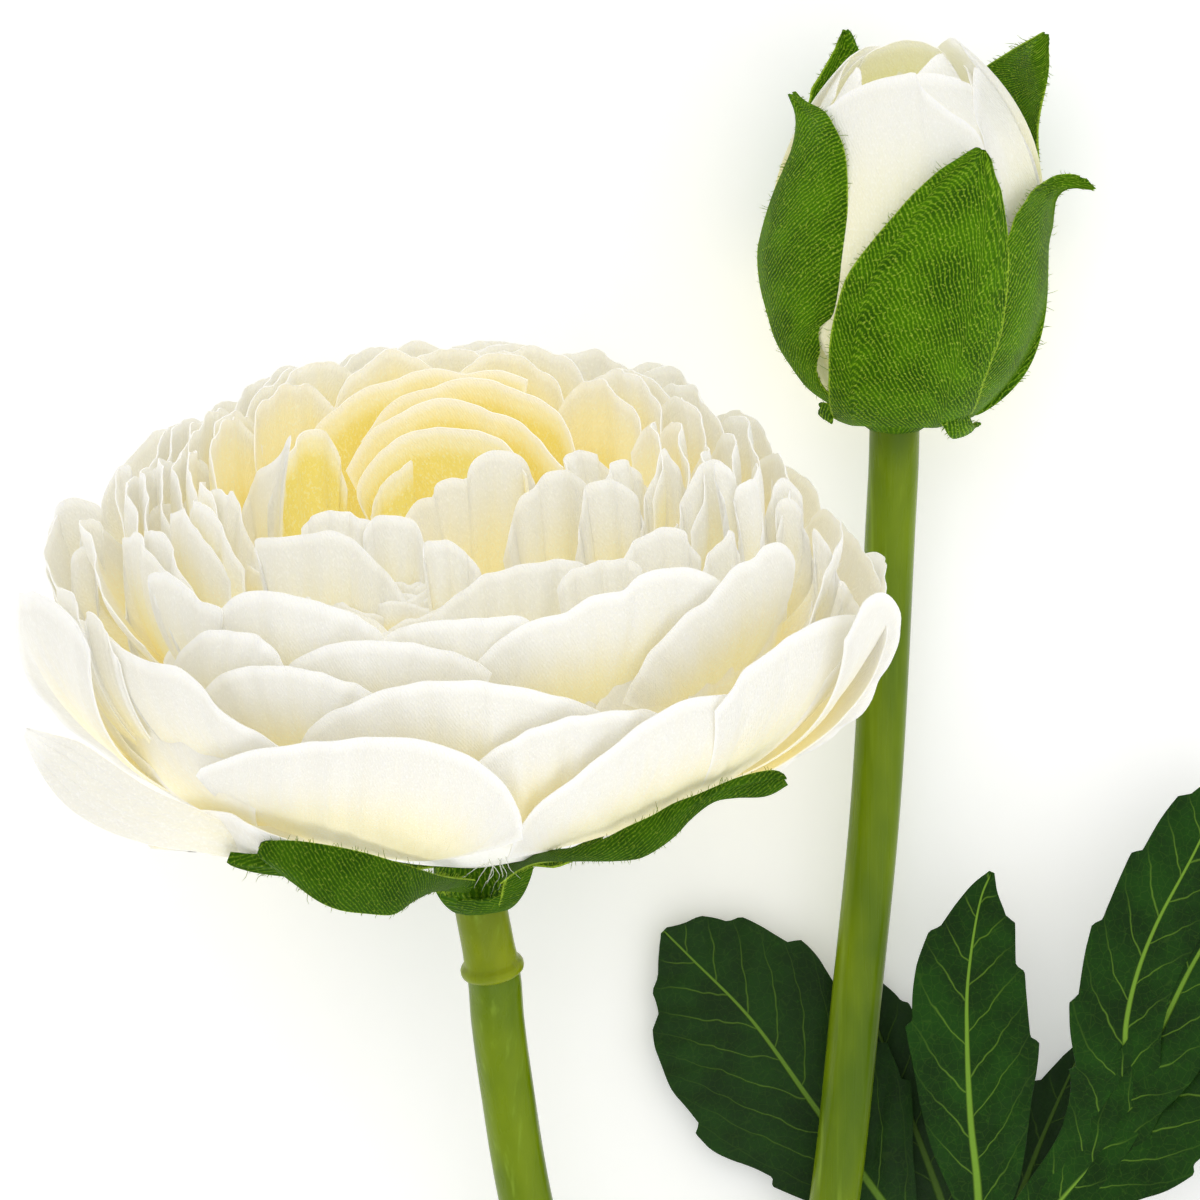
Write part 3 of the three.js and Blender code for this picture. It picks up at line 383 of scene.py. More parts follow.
# Leaves: the rib, pairs of share of the length and half width to the left and right of it, where
# the teeth of both sides are and how far they stand out, and how much the sides curl up.
LEAVES = {
    "broad": dict(
        rib=[HUB, (33.8, -68.5, 3.9), (28.6, -61.4, 3.2), (22.2, -52.5, 2.7), (15.5, -43.3, 2.3),
            (9.3, -37, 2), (6.6, -34.3, 2.4)],
        left=[(0, 0.6), (0.2, 0.7), (0.3, 3.4), (0.42, 6.6), (0.5, 8.4), (0.6, 10.8), (0.72, 10.8),
            (0.84, 8.8), (0.927, 4.6), (0.965, 2.6), (1, 0.4)],
        right=[(0, 0.6), (0.2, 0.7), (0.28, 3.3), (0.36, 5.8), (0.42, 7.6), (0.51, 9.2), (0.61, 9),
            (0.75, 9), (0.85, 7.4), (0.927, 5.2), (0.965, 3.2), (1, 0.5)],
        teeth=((0.46, 0.63, 0.88, 0.93), (0.47, 0.56, 0.68, 0.8, 0.91, 0.97)), depth=0.9, cup=0.05),
    "rear": dict(
        rib=[HUB, (36, -64, 1.6), (32, -53, 0.9), (28.8, -44.5, 0.8), (26.2, -37.6, 0.9)],
        left=[(0, 0.6), (0.2, 0.7), (0.4, 3.2), (0.7, 4), (0.9, 2.2), (1, 0.3)],
        right=[(0, 0.6), (0.2, 0.7), (0.4, 3.4), (0.65, 4.2), (0.85, 3.4), (1, 0.3)],
        teeth=((0.5, 0.75), (0.45, 0.62, 0.85)), depth=0.6, cup=0.02),
    "middle": dict(
        rib=[HUB, (39.1, -61.4, 7.4), (38.3, -53.7, 9.4), (37.9, -45.1, 10.8), (38, -39.3, 10.8),
            (39.4, -30.7, 9.6), (40.5, -28.1, 9.2)],
        left=[(0, 0.6), (0.18, 0.7), (0.29, 2.8), (0.42, 4.5), (0.55, 5.4), (0.69, 5.6),
            (0.77, 5.1), (0.84, 4), (0.9, 2.7), (1, 0.3)],
        right=[(0, 0.6), (0.18, 0.7), (0.28, 3.9), (0.44, 6), (0.57, 6.8), (0.7, 6), (0.8, 4.8),
            (0.9, 3.2), (1, 0.3)],
        teeth=((0.66, 0.85), (0.62, 0.79, 0.9)), depth=0.8, cup=0.1),
    "small": dict(
        rib=[HUB, (42.4, -65, 2.4), (45.6, -56.5, 1.4), (48.2, -50.5, 1.2), (50.6, -45.4, 1.3)],
        left=[(0, 0.6), (0.25, 0.7), (0.5, 2.4), (0.75, 2.8), (0.9, 1.6), (1, 0.3)],
        right=[(0, 0.6), (0.25, 0.7), (0.5, 2.6), (0.75, 2.8), (0.9, 1.6), (1, 0.3)],
        teeth=((0.6, 0.8), (0.6, 0.8)), depth=0.5, cup=0.02),
    "lobe_left": dict(
        rib=[HUB, (44, -66.5, 6.4), (51.6, -56, 9.6), (54.1, -49.9, 11), (54.3, -43.9, 11.6),
            (55.4, -38.8, 11.6), (57.4, -33.6, 11.2), (61.4, -26.1, 10), (65.6, -17.4, 8)],
        left=[(0, 0.6), (0.1, 0.7), (0.17, 3.2), (0.3, 3.8), (0.4, 4.6), (0.5, 5.2), (0.62, 5.4),
            (0.74, 5.2), (0.85, 4.6), (0.93, 3), (1, 0.3)],
        right=[(0, 0.6), (0.1, 0.7), (0.17, 1.6), (0.3, 2.8), (0.45, 3.4), (0.65, 4), (0.8, 4),
            (0.92, 2.8), (1, 0.3)],
        teeth=((0.47, 0.57, 0.68, 0.8, 0.92), (0.74, 0.84, 0.93)), depth=0.8, cup=0.1),
    "lobe_middle": dict(
        rib=[(44, -66.5, 6.4), (51.6, -56, 9.6), (54, -49.9, 11), (56.8, -46.2, 11.3),
            (61.4, -37.3, 11), (67, -28.5, 9.6), (72.4, -21.5, 7.6)],
        left=[(0, 0.7), (0.1, 1.6), (0.3, 2), (0.5, 2.6), (0.7, 3.4), (0.85, 3), (1, 0.3)],
        right=[(0, 0.7), (0.1, 2), (0.3, 4.6), (0.5, 5.6), (0.7, 5.6), (0.85, 4), (1, 0.3)],
        teeth=((0.72, 0.82, 0.92), (0.72, 0.82, 0.92)), depth=0.8, cup=0.1),
    "lobe_right": dict(
        rib=[(44, -66.5, 6.4), (51.6, -58.2, 9.2), (56, -54.4, 10.4), (61.4, -48.5, 10.6),
            (67.5, -43.5, 9.4), (73.5, -40.4, 7.4)],
        left=[(0, 0.7), (0.15, 2.6), (0.4, 4.4), (0.6, 5.4), (0.8, 4.4), (1, 0.3)],
        right=[(0, 0.7), (0.15, 3.4), (0.4, 6.4), (0.6, 6.6), (0.8, 4.8), (1, 0.3)],
        teeth=((0.72, 0.84), (0.44, 0.58, 0.72, 0.86)), depth=0.8, cup=0.1),
}

# Camera: the photograph's square frame is this wide at the height of the bloom's axis.
FRAME_WIDTH = 122.76
VIEW = 1200  # pixels
FRAME_HEIGHT_ABOVE_TABLE = 30
CAMERA_DISTANCE = 2000
SENSOR = 36
FLOOR_REACH = 3.0  # metres


# ---------------------------------------------------------------- numbers and curves
def seeded(seed):
    state = [seed]

    def draw():
        state[0] = (state[0] * 1664525 + 1013904223) % 4294967296
        return state[0] / 4294967296

    return draw


def smooth(x, low=0.0, high=1.0):
    t = np.clip((x - low) / (high - low), 0, 1)
    return t * t * (3 - 2 * t)


def catmull(points, count):
    """Evenly spaced points along a smooth curve through the given ones."""
    p = np.array(points, float)
    p = np.vstack([2 * p[0] - p[1], p, 2 * p[-1] - p[-2]])
    fine = []
    for k in range(1, len(p) - 2):
        knots = [0.0]
        for a, b in ((k - 1, k), (k, k + 1), (k + 1, k + 2)):
            knots.append(knots[-1] + np.linalg.norm(p[b] - p[a]) ** 0.5)
        t = np.linspace(knots[1], knots[2], 40, endpoint=k == len(p) - 3)[:, None]
        k0, k1, k2, k3 = knots
        a1 = (k1 - t) / (k1 - k0) * p[k - 1] + (t - k0) / (k1 - k0) * p[k]
        a2 = (k2 - t) / (k2 - k1) * p[k] + (t - k1) / (k2 - k1) * p[k + 1]
        a3 = (k3 - t) / (k3 - k2) * p[k + 1] + (t - k2) / (k3 - k2) * p[k + 2]
        b1 = (k2 - t) / (k2 - k0) * a1 + (t - k0) / (k2 - k0) * a2
        b2 = (k3 - t) / (k3 - k1) * a2 + (t - k1) / (k3 - k1) * a3
        fine.append((k2 - t) / (k2 - k1) * b1 + (t - k1) / (k2 - k1) * b2)
    line = np.vstack(fine)
    gone = np.concatenate([[0], np.cumsum(np.linalg.norm(np.diff(line, axis=0), axis=1))])
    at = np.linspace(0, gone[-1], count)
    return np.stack([np.interp(at, gone, line[:, k]) for k in range(3)], axis=1), gone[-1]


def rounded(pairs, at):
    """A smooth curve through pairs of (place, value) that doesn't overshoot them."""
    x, y = np.array(pairs, float).T
    step = np.diff(y) / np.diff(x)
    both = step[:-1] * step[1:]
    inner = np.where(both > 0, 2 * step[:-1] * step[1:] / (step[:-1] + step[1:] + 1e-12), 0)
    slope = np.concatenate([[step[0]], inner, [step[-1]]])
    k = np.clip(np.searchsorted(x, at, side="right") - 1, 0, len(x) - 2)
    width = x[k + 1] - x[k]
    t = np.clip((at - x[k]) / width, 0, 1)
    return ((1 + 2 * t) * (1 - t) ** 2 * y[k] + t * (1 - t) ** 2 * width * slope[k]
            + t * t * (3 - 2 * t) * y[k + 1] + t * t * (t - 1) * width * slope[k + 1])


def from_view(points):
    """Millimetres right of and above the middle of the view, of points in its pixels."""
    return (np.array(points, float) - VIEW / 2) * (1, -1) * FRAME_WIDTH / VIEW


def unleaned(flower, x, y):
    """Coordinates across and along the way that a flower leans."""
    lean = math.radians(flower["lean"])
    return x * math.cos(lean) + y * math.sin(lean), y * math.cos(lean) - x * math.sin(lean)


def flower_frame(place):
    """Turning matrix and base of a flower whose -Y side faces up, away from the table."""
    a, b = math.radians(place["rise"] - 90), math.radians(place["lean"])
    turn = Matrix.Rotation(b, 3, "Z") @ Matrix.Rotation(a, 3, "X")
    return np.array(turn), np.array(place["base"], float)


# ---------------------------------------------------------------- meshes
def between(first, sides, k):
    """The face after the k-th corner between a ring of points and the next ring."""
    n = (k + 1) % sides
    return [first + k, first + n, first + sides + n, first + sides + k]


class Pile:
    """Collects closed shells into one mesh, with what its material reads at each vertex."""

    def __init__(self):
        self.points, self.faces, self.place, self.share = [], [], [], []
        self.count = 0

    def add(self, points, faces, place, share):
        self.points.append(points)
        self.faces.extend([[i + self.count for i in f] for f in faces])
        self.place.append(place)
        self.share.append(share)
        self.count += len(points)

    def blade(self, middle, thick, place, share, rim=0.45):
        """A thin closed blade round a grid of middle points, thinner towards its rim."""
        rows, columns = middle.shape[:2]
        across = np.gradient(middle, axis=1)
        along = np.gradient(middle, axis=0)
        normal = np.cross(across, along)
        normal /= np.linalg.norm(normal, axis=2, keepdims=True) + 1e-12
        u = np.linspace(-1, 1, columns)[None, :]
        v = np.linspace(0, 1, rows)[:, None]
        edge = np.maximum(np.abs(u) ** 10, v ** 14)
        half = (thick / 2 * (1 - (1 - rim) * edge))[:, :, None]
        front = (middle + normal * half).reshape(-1, 3)
        back = (middle - normal * half).reshape(-1, 3)
        layer = rows * columns
        i = np.arange((rows - 1) * columns).reshape(rows - 1, columns)[:, :-1].ravel()
        quads = np.stack([i, i + 1, i + columns + 1, i + columns], axis=1)
        faces = np.vstack([quads, layer + quads[:, ::-1]]).tolist()
        ring = ([k for k in range(columns - 1)]
                + [k * columns + columns - 1 for k in range(rows - 1)]
                + [(rows - 1) * columns + k for k in range(columns - 1, 0, -1)]
                + [k * columns for k in range(rows - 1, 0, -1)])
        for a, b in zip(ring, ring[1:] + ring[:1]):
            faces.append([layer + a, layer + b, b, a])
        twice = lambda grid: np.vstack([grid.reshape(-1, 3)] * 2)
        self.add(np.vstack([front, back]), faces, twice(place), twice(share))

    def turned(self, profile, sides, turn, base, share, wave=0.0, pit=None, pit_from=0):
        """A closed body turned about a flower's axis. Profile points are radius, height. From
        one point on they may be centred elsewhere, at the middle of a pit, and only there does
        the painted shade in the colour have its full depth."""
        profile = np.array(profile, float)
        angle = np.linspace(0, TAU, sides, endpoint=False)
        inner = profile[1:-1]
        ring = np.stack([np.outer(inner[:, 0], np.cos(angle) * (1 + wave * np.sin(7 * angle))),
                         np.outer(inner[:, 0], np.sin(angle) * (1 + wave * np.sin(7 * angle))),
                         np.outer(inner[:, 1], np.ones(sides))], axis=2).reshape(-1, 3)
        local = np.vstack([ring, [[0, 0, profile[0, 1]], [0, 0, profile[-1, 1]]]])
        if pit:
            local[(pit_from - 1) * sides:len(ring), :2] += pit
            local[-1, :2] += pit
        first, last = len(ring), len(ring) + 1
        faces = []
        for k in range(sides):
            n = (k + 1) % sides
            faces.append([first, n, k])
            top = (len(inner) - 1) * sides
            faces.append([last, top + k, top + n])
            faces.extend(between(j * sides, sides, k) for j in range(len(inner) - 1))
        points = local @ turn.T + base
        place = np.stack([np.arctan2(local[:, 1], local[:, 0]) * 3, local[:, 2], local[:, 0]],
                         axis=1)
        seen = np.tile(np.array(share, float), (len(local), 1))
        if pit:
            seen[:(pit_from - 1) * sides, 2] = 0.3
        self.add(points, faces, place, seen)

    def tube(self, line, radius, sides, share, flute=0.0, flutes=5):
        """A tube along a line of points. Its radius may change from point to point."""
        line = np.array(line, float)
        radius = np.broadcast_to(np.array(radius, float), (len(line),))
        ahead = np.gradient(line, axis=0)
        ahead /= np.linalg.norm(ahead, axis=1, keepdims=True)
        side = np.cross(ahead, [0.0, 0.0, 1.0])
        side /= np.linalg.norm(side, axis=1, keepdims=True) + 1e-12
        up = np.cross(side, ahead)
        angle = np.linspace(0, TAU, sides, endpoint=False)
        wide = radius[:, None] * (1 + flute * np.cos(flutes * angle))[None, :]
        points = (line[:, None, :] + (wide * np.cos(angle))[:, :, None] * side[:, None, :]
                  + (wide * np.sin(angle))[:, :, None] * up[:, None, :]).reshape(-1, 3)
        gone = np.concatenate([[0], np.cumsum(np.linalg.norm(np.diff(line, axis=0), axis=1))])
        place = np.stack([np.tile(angle, len(line)), np.repeat(gone, sides),
                          np.repeat(radius, sides)], axis=1)
        faces = []
        for j in range(len(line) - 1):
            faces.extend(between(j * sides, sides, k) for k in range(sides))
        faces.append(list(range(sides))[::-1])
        faces.append([(len(line) - 1) * sides + k for k in range(sides)])
        self.add(points, faces, place, np.tile(np.array(share, float), (len(points), 1)))

    def object(self, name, material, sharp=45):
        mesh = bpy.data.meshes.new(name)
        points = (np.vstack(self.points) - ORIGIN) * MM
        mesh.from_pydata(points.tolist(), [], self.faces)
        for label, rows in (("place", self.place), ("share", self.share)):
            layer = mesh.attributes.new(label, "FLOAT_VECTOR", "POINT")
            layer.data.foreach_set("vector", np.vstack(rows).astype(np.float32).ravel())
        mesh.update()
        mesh.shade_smooth()
        mesh.set_sharp_from_angle(angle=math.radians(sharp))
        mesh.materials.append(material)
        made = bpy.data.objects.new(name, mesh)
        bpy.context.scene.collection.objects.link(made)
        return made


# ---------------------------------------------------------------- petals
def bezier(control, t):
    p0, p1, p2, p3 = (np.array(p, float)[:, None, None] for p in control)
    s = 1 - t
    point = s ** 3 * p0 + 3 * s * s * t * p1 + 3 * s * t * t * p2 + t ** 3 * p3
    ahead = 3 * s * s * (p1 - p0) + 6 * s * t * (p2 - p1) + 3 * t * t * (p3 - p2)
    return point, ahead / np.linalg.norm(ahead, axis=0)


def fan(v):
    return 0.12 + 0.88 * np.clip(v, 0, 1.05) ** 0.72


def leafy(v):
    return np.abs(np.sin(np.pi * (0.14 + 0.84 * v))) ** 0.8


PLAIN = dict(arcs=(0.0, 0.0), lobe=0.0, lobes=2, twist=0.0, min_radius=8.0, cup=0.0, roll=0.0,
             wave=0.0, waves=2.0, phase=0.0, pleat=0.0, pleats=5, scallop=0.0, streak=0.0,
             start=0.0, width=1.0, middle=(0.0, 0.0), grain=0.0, ladder=False, heights=None,
             root_drift=1.0, pale=0.0, fibres=False)


def along_outline(outline, count):
    """Evenly spaced points along the smooth curve through a drawn outline."""
    return catmull([(x, y, 0) for x, y in outline], count)[0][:, :2]


def rungs(outline, columns, rows):
    """A drawn outline filled like a ladder from its two ends to the point between them that lies
    farthest off, which is the tip."""
    edge = along_outline(outline, OUTLINE_STEPS)
    tip = int(np.argmax(np.linalg.norm(edge - (edge[0] + edge[-1]) / 2, axis=1)))
    share = np.linspace(0, LADDER_END, rows)
    sides = []
    for side in (edge[:tip + 1], edge[:tip - 1:-1]):
        at = share * (len(side) - 1)
        index = np.arange(len(side))
        sides.append(np.stack([np.interp(at, index, side[:, k]) for k in (0, 1)], axis=1))
    across = np.linspace(0, 1, columns)[None, :, None]
    return sides[0][:, None, :] * (1 - across) + sides[1][:, None, :] * across


def evened(values, passes):
    """A grid of values with each one drawn towards its neighbours, again and again."""
    for _ in range(passes):
        wide = np.pad(values, 1, mode="edge")
        values = (wide[:-2, 1:-1] + wide[2:, 1:-1] + wide[1:-1, :-2] + wide[1:-1, 2:]) / 4
    return values


def seen_on_shell(petal, grid):
    """Where the camera's sight of the drawn points meets the shell of a petal's line turned about
    its middle: direction, share of the line's length, and how far outside the shell it lies.
    Where the sight passes the shell, the heights above the table are evened out."""
    turn, base = flower_frame(petal["flower"])
    flat = from_view(grid.reshape(-1, 2))
    share = np.linspace(0, SHELL_REACH, SHELL_STEPS)
    (r, h), _ = bezier(petal["line"], share[None, :])
    r, h = r[0], h[0]
    middle, far = petal["middle"], petal["far"]
    rise = math.radians(petal["flower"]["rise"])
    found = []
    for x, y in flat:
        height = FIRST_HEIGHT
        for _ in range(SIGHT_ROUNDS):
            shrink = 1 - (height - FRAME_HEIGHT_ABOVE_TABLE) / CAMERA_DISTANCE
            local_x, seen = unleaned(petal["flower"], x * shrink - base[0], y * shrink - base[1])
            local_x -= middle[0]
            local_y = middle[1] + far * np.sqrt(np.maximum(r * r - local_x ** 2, 0))
            miss = math.sin(rise) * local_y + math.cos(rise) * h - seen
            cross = np.nonzero(miss[:-1] * miss[1:] <= 0)[0]
            k = cross[-1] if len(cross) else int(np.argmin(np.abs(miss)))
            near = miss[k] / (miss[k] - miss[k + 1]) if len(cross) else 0.0
            at = share[k] + near * (share[1] - share[0])
            height = base[2] - math.cos(rise) * local_y[k] + math.sin(rise) * h[k]
        out = max(1.0, abs(local_x) / r[k])
        found.append((math.atan2(local_y[k] - middle[1], local_x), at, out, height))
    angle, at, out, height = np.array(found).T
    if petal["heights"] or (np.abs(np.sin(angle)) < EDGE_ON).any():
        height = height.reshape(grid.shape[:2])
        if petal["heights"]:
            along, across = (np.linspace(0, 1, size) for size in height.shape)
            level = np.interp(along, *np.array(petal["heights"], float).T)
            height = (level[:, None] + SIDE_RISE * across - SIDE_DROP
                      + MIDDLE_RISE * np.sin(np.pi * across))
        height = evened(height, EVEN_PASSES).ravel()
        shrink = 1 - (height - FRAME_HEIGHT_ABOVE_TABLE) / CAMERA_DISTANCE
        world = np.stack([flat[:, 0] * shrink, flat[:, 1] * shrink, height], axis=1)
        local = (world - base) @ turn - (*middle, 0)
        angle = np.arctan2(local[:, 1], local[:, 0])
        at = np.interp(local[:, 2], h, share)
        out = np.hypot(local[:, 0], local[:, 1]) / np.interp(at, share, r)
    seam = -far * math.pi / 2  # the direction opposite to the side that is looked at
    angle = (angle - seam) % TAU + seam
    return [part.reshape(grid.shape[:2]) for part in (angle, at, out)]


def petal_grid(p, columns, rows):
    """Middle surface of a blade round a flower's axis, in the flower's own frame, and its
    coordinates: both in millimetres, share of the half width and share of the length."""
    u = np.linspace(-1, 1, columns)[None, :] * np.ones((rows, 1))
    v = np.linspace(p["start"], 1, rows)[:, None] * np.ones((1, columns))
    line, _ = bezier(p["line"], np.linspace(0, 1, 60)[None, :])
    length = np.linalg.norm(np.diff(line[:, 0, :], axis=1), axis=0).sum()
    fold = np.abs(np.sin(p["pleats"] * np.pi * (u + 1) / 2 + p["phase"] * 0.2))
    lobes = p["lobe"] * np.cos(p["lobes"] * np.pi * u) * v ** 4
    lobes = lobes + p["scallop"] * (fold ** 0.6 - 0.7) * v ** 8
    ripple = np.sin(9 * u + 7 * p["phase"]) + 0.6 * np.sin(17 * u + 3 * p["phase"])
    lobes = lobes + 0.12 * ripple * v ** 8
    arc = np.where(u < 0, *p["arcs"])
    along = v * (1 - arc * np.abs(u) ** 2.4 * v) + lobes / length
    reach = np.ones((rows, columns))
    if "outline" in p:
        if p["ladder"]:
            drawn, along, reach = seen_on_shell(p, rungs(p["outline"], columns, rows))
            root = drawn.mean()
        else:
            edge = seen_on_shell(p, along_outline(p["outline"], columns)[None])
            edge_angle, edge_at, edge_out = (part[0] for part in edge)
            root = (edge_angle.min() + edge_angle.max()) / 2
            rise = (v - p["start"]) / (1 - p["start"])
            along = p["start"] + (edge_at[None, :] - p["start"]) * rise
            drawn = root + (edge_angle[None, :] - root) * fan(rise)
            reach = 1 + (edge_out[None, :] - 1) * rise ** 2
        side = (drawn - root) * p["ring"]
    else:
        side = u * p["width"] / 2 * p["spread"](v)
    centre, ahead = bezier(p["line"], along)
    inward = p["twist"] * side + p["cup"] * side ** 2 / (p["width"] / 2)
    inward = inward + p["roll"] * smooth(v, 0.7, 1) ** 2
    inward = inward + p["wave"] * np.sin(p["waves"] * np.pi * u + p["phase"] * TAU) * v ** 3
    inward = inward - p["pleat"] * (fold ** 1.5 - 0.5) * smooth(v, 0.25, 0.9)
    inward = inward + p["streak"] * v ** 1.5 * (
        np.sin(23 * u + 11 * p["phase"]) + 0.7 * np.sin(37 * u + 5 * p["phase"])
        + 0.5 * np.sin(11 * u))
    radius = centre[0] * reach - ahead[1] * inward
    height = centre[1] + ahead[0] * inward
    if "outline" in p:
        angle, drift = drawn, p["root_drift"] + (1 - p["root_drift"]) * smooth(v, p["start"], 0.9)
    else:
        angle = p["angle"] + side / np.maximum(centre[0], p["min_radius"])
        drift = smooth(v, 0, 0.8)
    grid = np.stack([radius * np.cos(angle) + p["middle"][0] * drift,
                     radius * np.sin(angle) + p["middle"][1] * drift, height], axis=2)
    g, x, y = p["grain"], side, along * length
    if "outline" in p:
        step = np.linalg.norm(np.diff(grid, axis=1), axis=2)
        x = np.concatenate([np.zeros((rows, 1)), np.cumsum(step, axis=1)], axis=1)
        x = x - x[:, columns // 2, None]
        step = np.linalg.norm(np.diff(grid, axis=0), axis=2)
        y = np.concatenate([np.zeros((1, columns)), np.cumsum(step, axis=0)])
    cloth = np.stack([x * math.cos(g) + y * math.sin(g), y * math.cos(g) - x * math.sin(g),
                      np.full_like(u, p["phase"])], axis=2)
    return grid, cloth, u, v


def add_petal(pile, place, petal, mesh, thick, depth):
    """Adds a blade, with painted warm shade as for one that lies so deep in the flower, from 0 to
    1.
    """
    turn, base = place
    p = {**PLAIN, **petal}
    grid, cloth, u, v = petal_grid(p, *mesh)
    world = grid @ turn.T + base
    world[:, :, 2] = np.maximum(world[:, :, 2], thick / 2 + CLEAR)
    share = np.stack([p["pale"] + (1 - p["pale"]) * v, np.abs(u), np.full_like(u, depth)], axis=2)
    pile.blade(world, thick, cloth, share)
    if p["fibres"]:
        add_fibres(pile, world, (0.5, 1.0, depth), seeded(int(1000 * p["phase"]) + mesh[0]))


def add_fibres(pile, world, share, draw):
    """Short loose ends of yarn along both sides of a cut blade."""
    for side, inner in ((0, 1), (-1, -2)):
        edge, within = world[:, side], world[:, inner]
        gone = np.concatenate([[0], np.cumsum(np.linalg.norm(np.diff(edge, axis=0), axis=1))])
        spot = lambda line, at: np.array([np.interp(at, gone, line[:, k]) for k in range(3)])
        for _ in range(int(gone[-1] * FIBRES_PER_MM)):
            at = gone[-1] * (0.06 + 0.92 * draw())
            start = spot(edge, at)
            ahead = spot(edge, at + 0.3) - start
            root = spot(within, at)
            out = (start - root) / (np.linalg.norm(start - root) + 1e-9)
            out = out + ahead * (4 * draw() - 1)
            out = out / np.linalg.norm(out)
            reach = (0.2 + 0.35 * draw()) * (2.6 if draw() < 0.08 else 1)
            curl = np.array([draw() - 0.5 for _ in range(3)]) * 0.5 * reach
            line = [start - 0.15 * out, start + 0.5 * reach * out, start + reach * out + curl]
            if min(point[2] for point in line) > 2 * FIBRE_RADIUS:
                pile.tube(line, FIBRE_RADIUS * np.array([1, 0.8, 0.4]), 3, share)


def inside(profile, r, h):
    hit = False
    for (r1, h1), (r0, h0) in zip(profile, [profile[-1], *profile[:-1]]):
        if (h1 > h) != (h0 > h) and r < r0 + (h - h0) * (r1 - r0) / (h1 - h0):
            hit = not hit
    return hit


def hidden_part(line, profile):
    """How far along a petal its blade begins, a little way inside the heart."""
    t = 1.0
    while t > 0.06:
        (r, h), _ = bezier(line, np.array([[t]]))
        if inside(profile, float(r[0, 0]), float(h[0, 0])):
            break
        t -= 0.01
    return max(0.0, t - 0.06)


def outer_line(radius, height, row):
    """A petal's line from the heart's foot, out and up to its tip."""
    return ((PETAL_ROOT[0] - 0.8 * row, PETAL_ROOT[1] + 1.2 * row), (20 - row, 12 + 3 * row),
            (radius - 4 + 2 * row, height - 18 + 2 * row), (radius, height))


def dome_line(radius, height):
    """A petal's line that rises steeply and bends in at its tip."""
    return ((0.3 * radius, 12), (0.75 * radius, 0.36 * height), (radius + 2.2, height - 13),
            (radius, height))


def outer_petal(place, row, draw):
    angle, radius, height, width = place
    line = outer_line(radius, height, row)
    return dict(angle=math.radians(angle), line=line, width=width, spread=fan, twist=0.09,
                arcs=(0.19, 0.19), min_radius=9, start=hidden_part(line, HEART), phase=draw(),
                wave=0.35 + 0.3 * draw(), waves=1.6 + draw(), streak=0.05, roll=-0.4, pleat=0.1,
                pleats=9)


def dome_petal(angle, radius, middle, width, draw):
    tip = (middle[0] + radius * math.cos(angle), middle[1] + radius * math.sin(angle))
    height = np.interp(math.hypot(*tip), *np.array(DOME, float).T) + (draw() - 0.5) * 1.2
    if OPEN_SIDE[0] < math.degrees(angle) % 360 < OPEN_SIDE[1]:
        height -= OPEN_DROP
    return dict(angle=angle, line=dome_line(radius, height), spread=fan, arcs=(0.13, 0.13),
                width=width * (0.92 + 0.16 * draw()), lobe=0.2, lobes=2 if draw() < 0.5 else 4,
                twist=0.08, min_radius=4, start=0.35, phase=draw(), cup=0.05 + 0.1 * draw(),
                pleat=0.3 * (0.7 + 0.6 * draw()), pleats=3 + int(2 * draw()),
                scallop=0.3 * (0.7 + 0.6 * draw()), streak=0.04, wave=0.3, middle=middle)


def drawn_petal(place, row, draw):
    """A petal of an outer row, or of the dome where there is no row, with a drawn outline."""
    x, y, radius, height, pleats, outline = place
    ring = abs(radius)
    if row is None:
        line, start, pleat = dome_line(ring, height), 0.35, 0.6
    else:
        line, pleat = outer_line(ring, height, row), 0.22
        start = hidden_part(line, HEART)
    return dict(flower=BLOOM, line=line, outline=outline, middle=(x, y), ring=ring,
                far=-1 if radius > 0 else 1, start=start, phase=draw(), pleat=pleat, pleats=pleats,
                streak=0.05, wave=0.12)


def side_petal(place, draw):
    """A petal at the flower's left or right limb. It lies on a small shell of its own, set back so
    far that the height of its tip fits where the camera sees it."""
    radius, height, pleats, outline = place
    rise = math.radians(BLOOM["rise"])
    x, seen = unleaned(BLOOM, *(from_view(outline) - BLOOM["base"][:2]).T)
    top = int(np.argmax(seen))
    middle_x = (x.min() + x.max()) / 2
    middle_x -= 0.3 * radius * np.sign(middle_x)
    tip_y = (seen[top] - math.cos(rise) * height) / math.sin(rise)
    middle_y = tip_y + math.sqrt(max(radius ** 2 - (x[top] - middle_x) ** 2, 0))
    shape = drawn_petal((middle_x, middle_y, radius, height, pleats, outline), None, draw)
    shape.update(root_drift=0.5)
    return shape


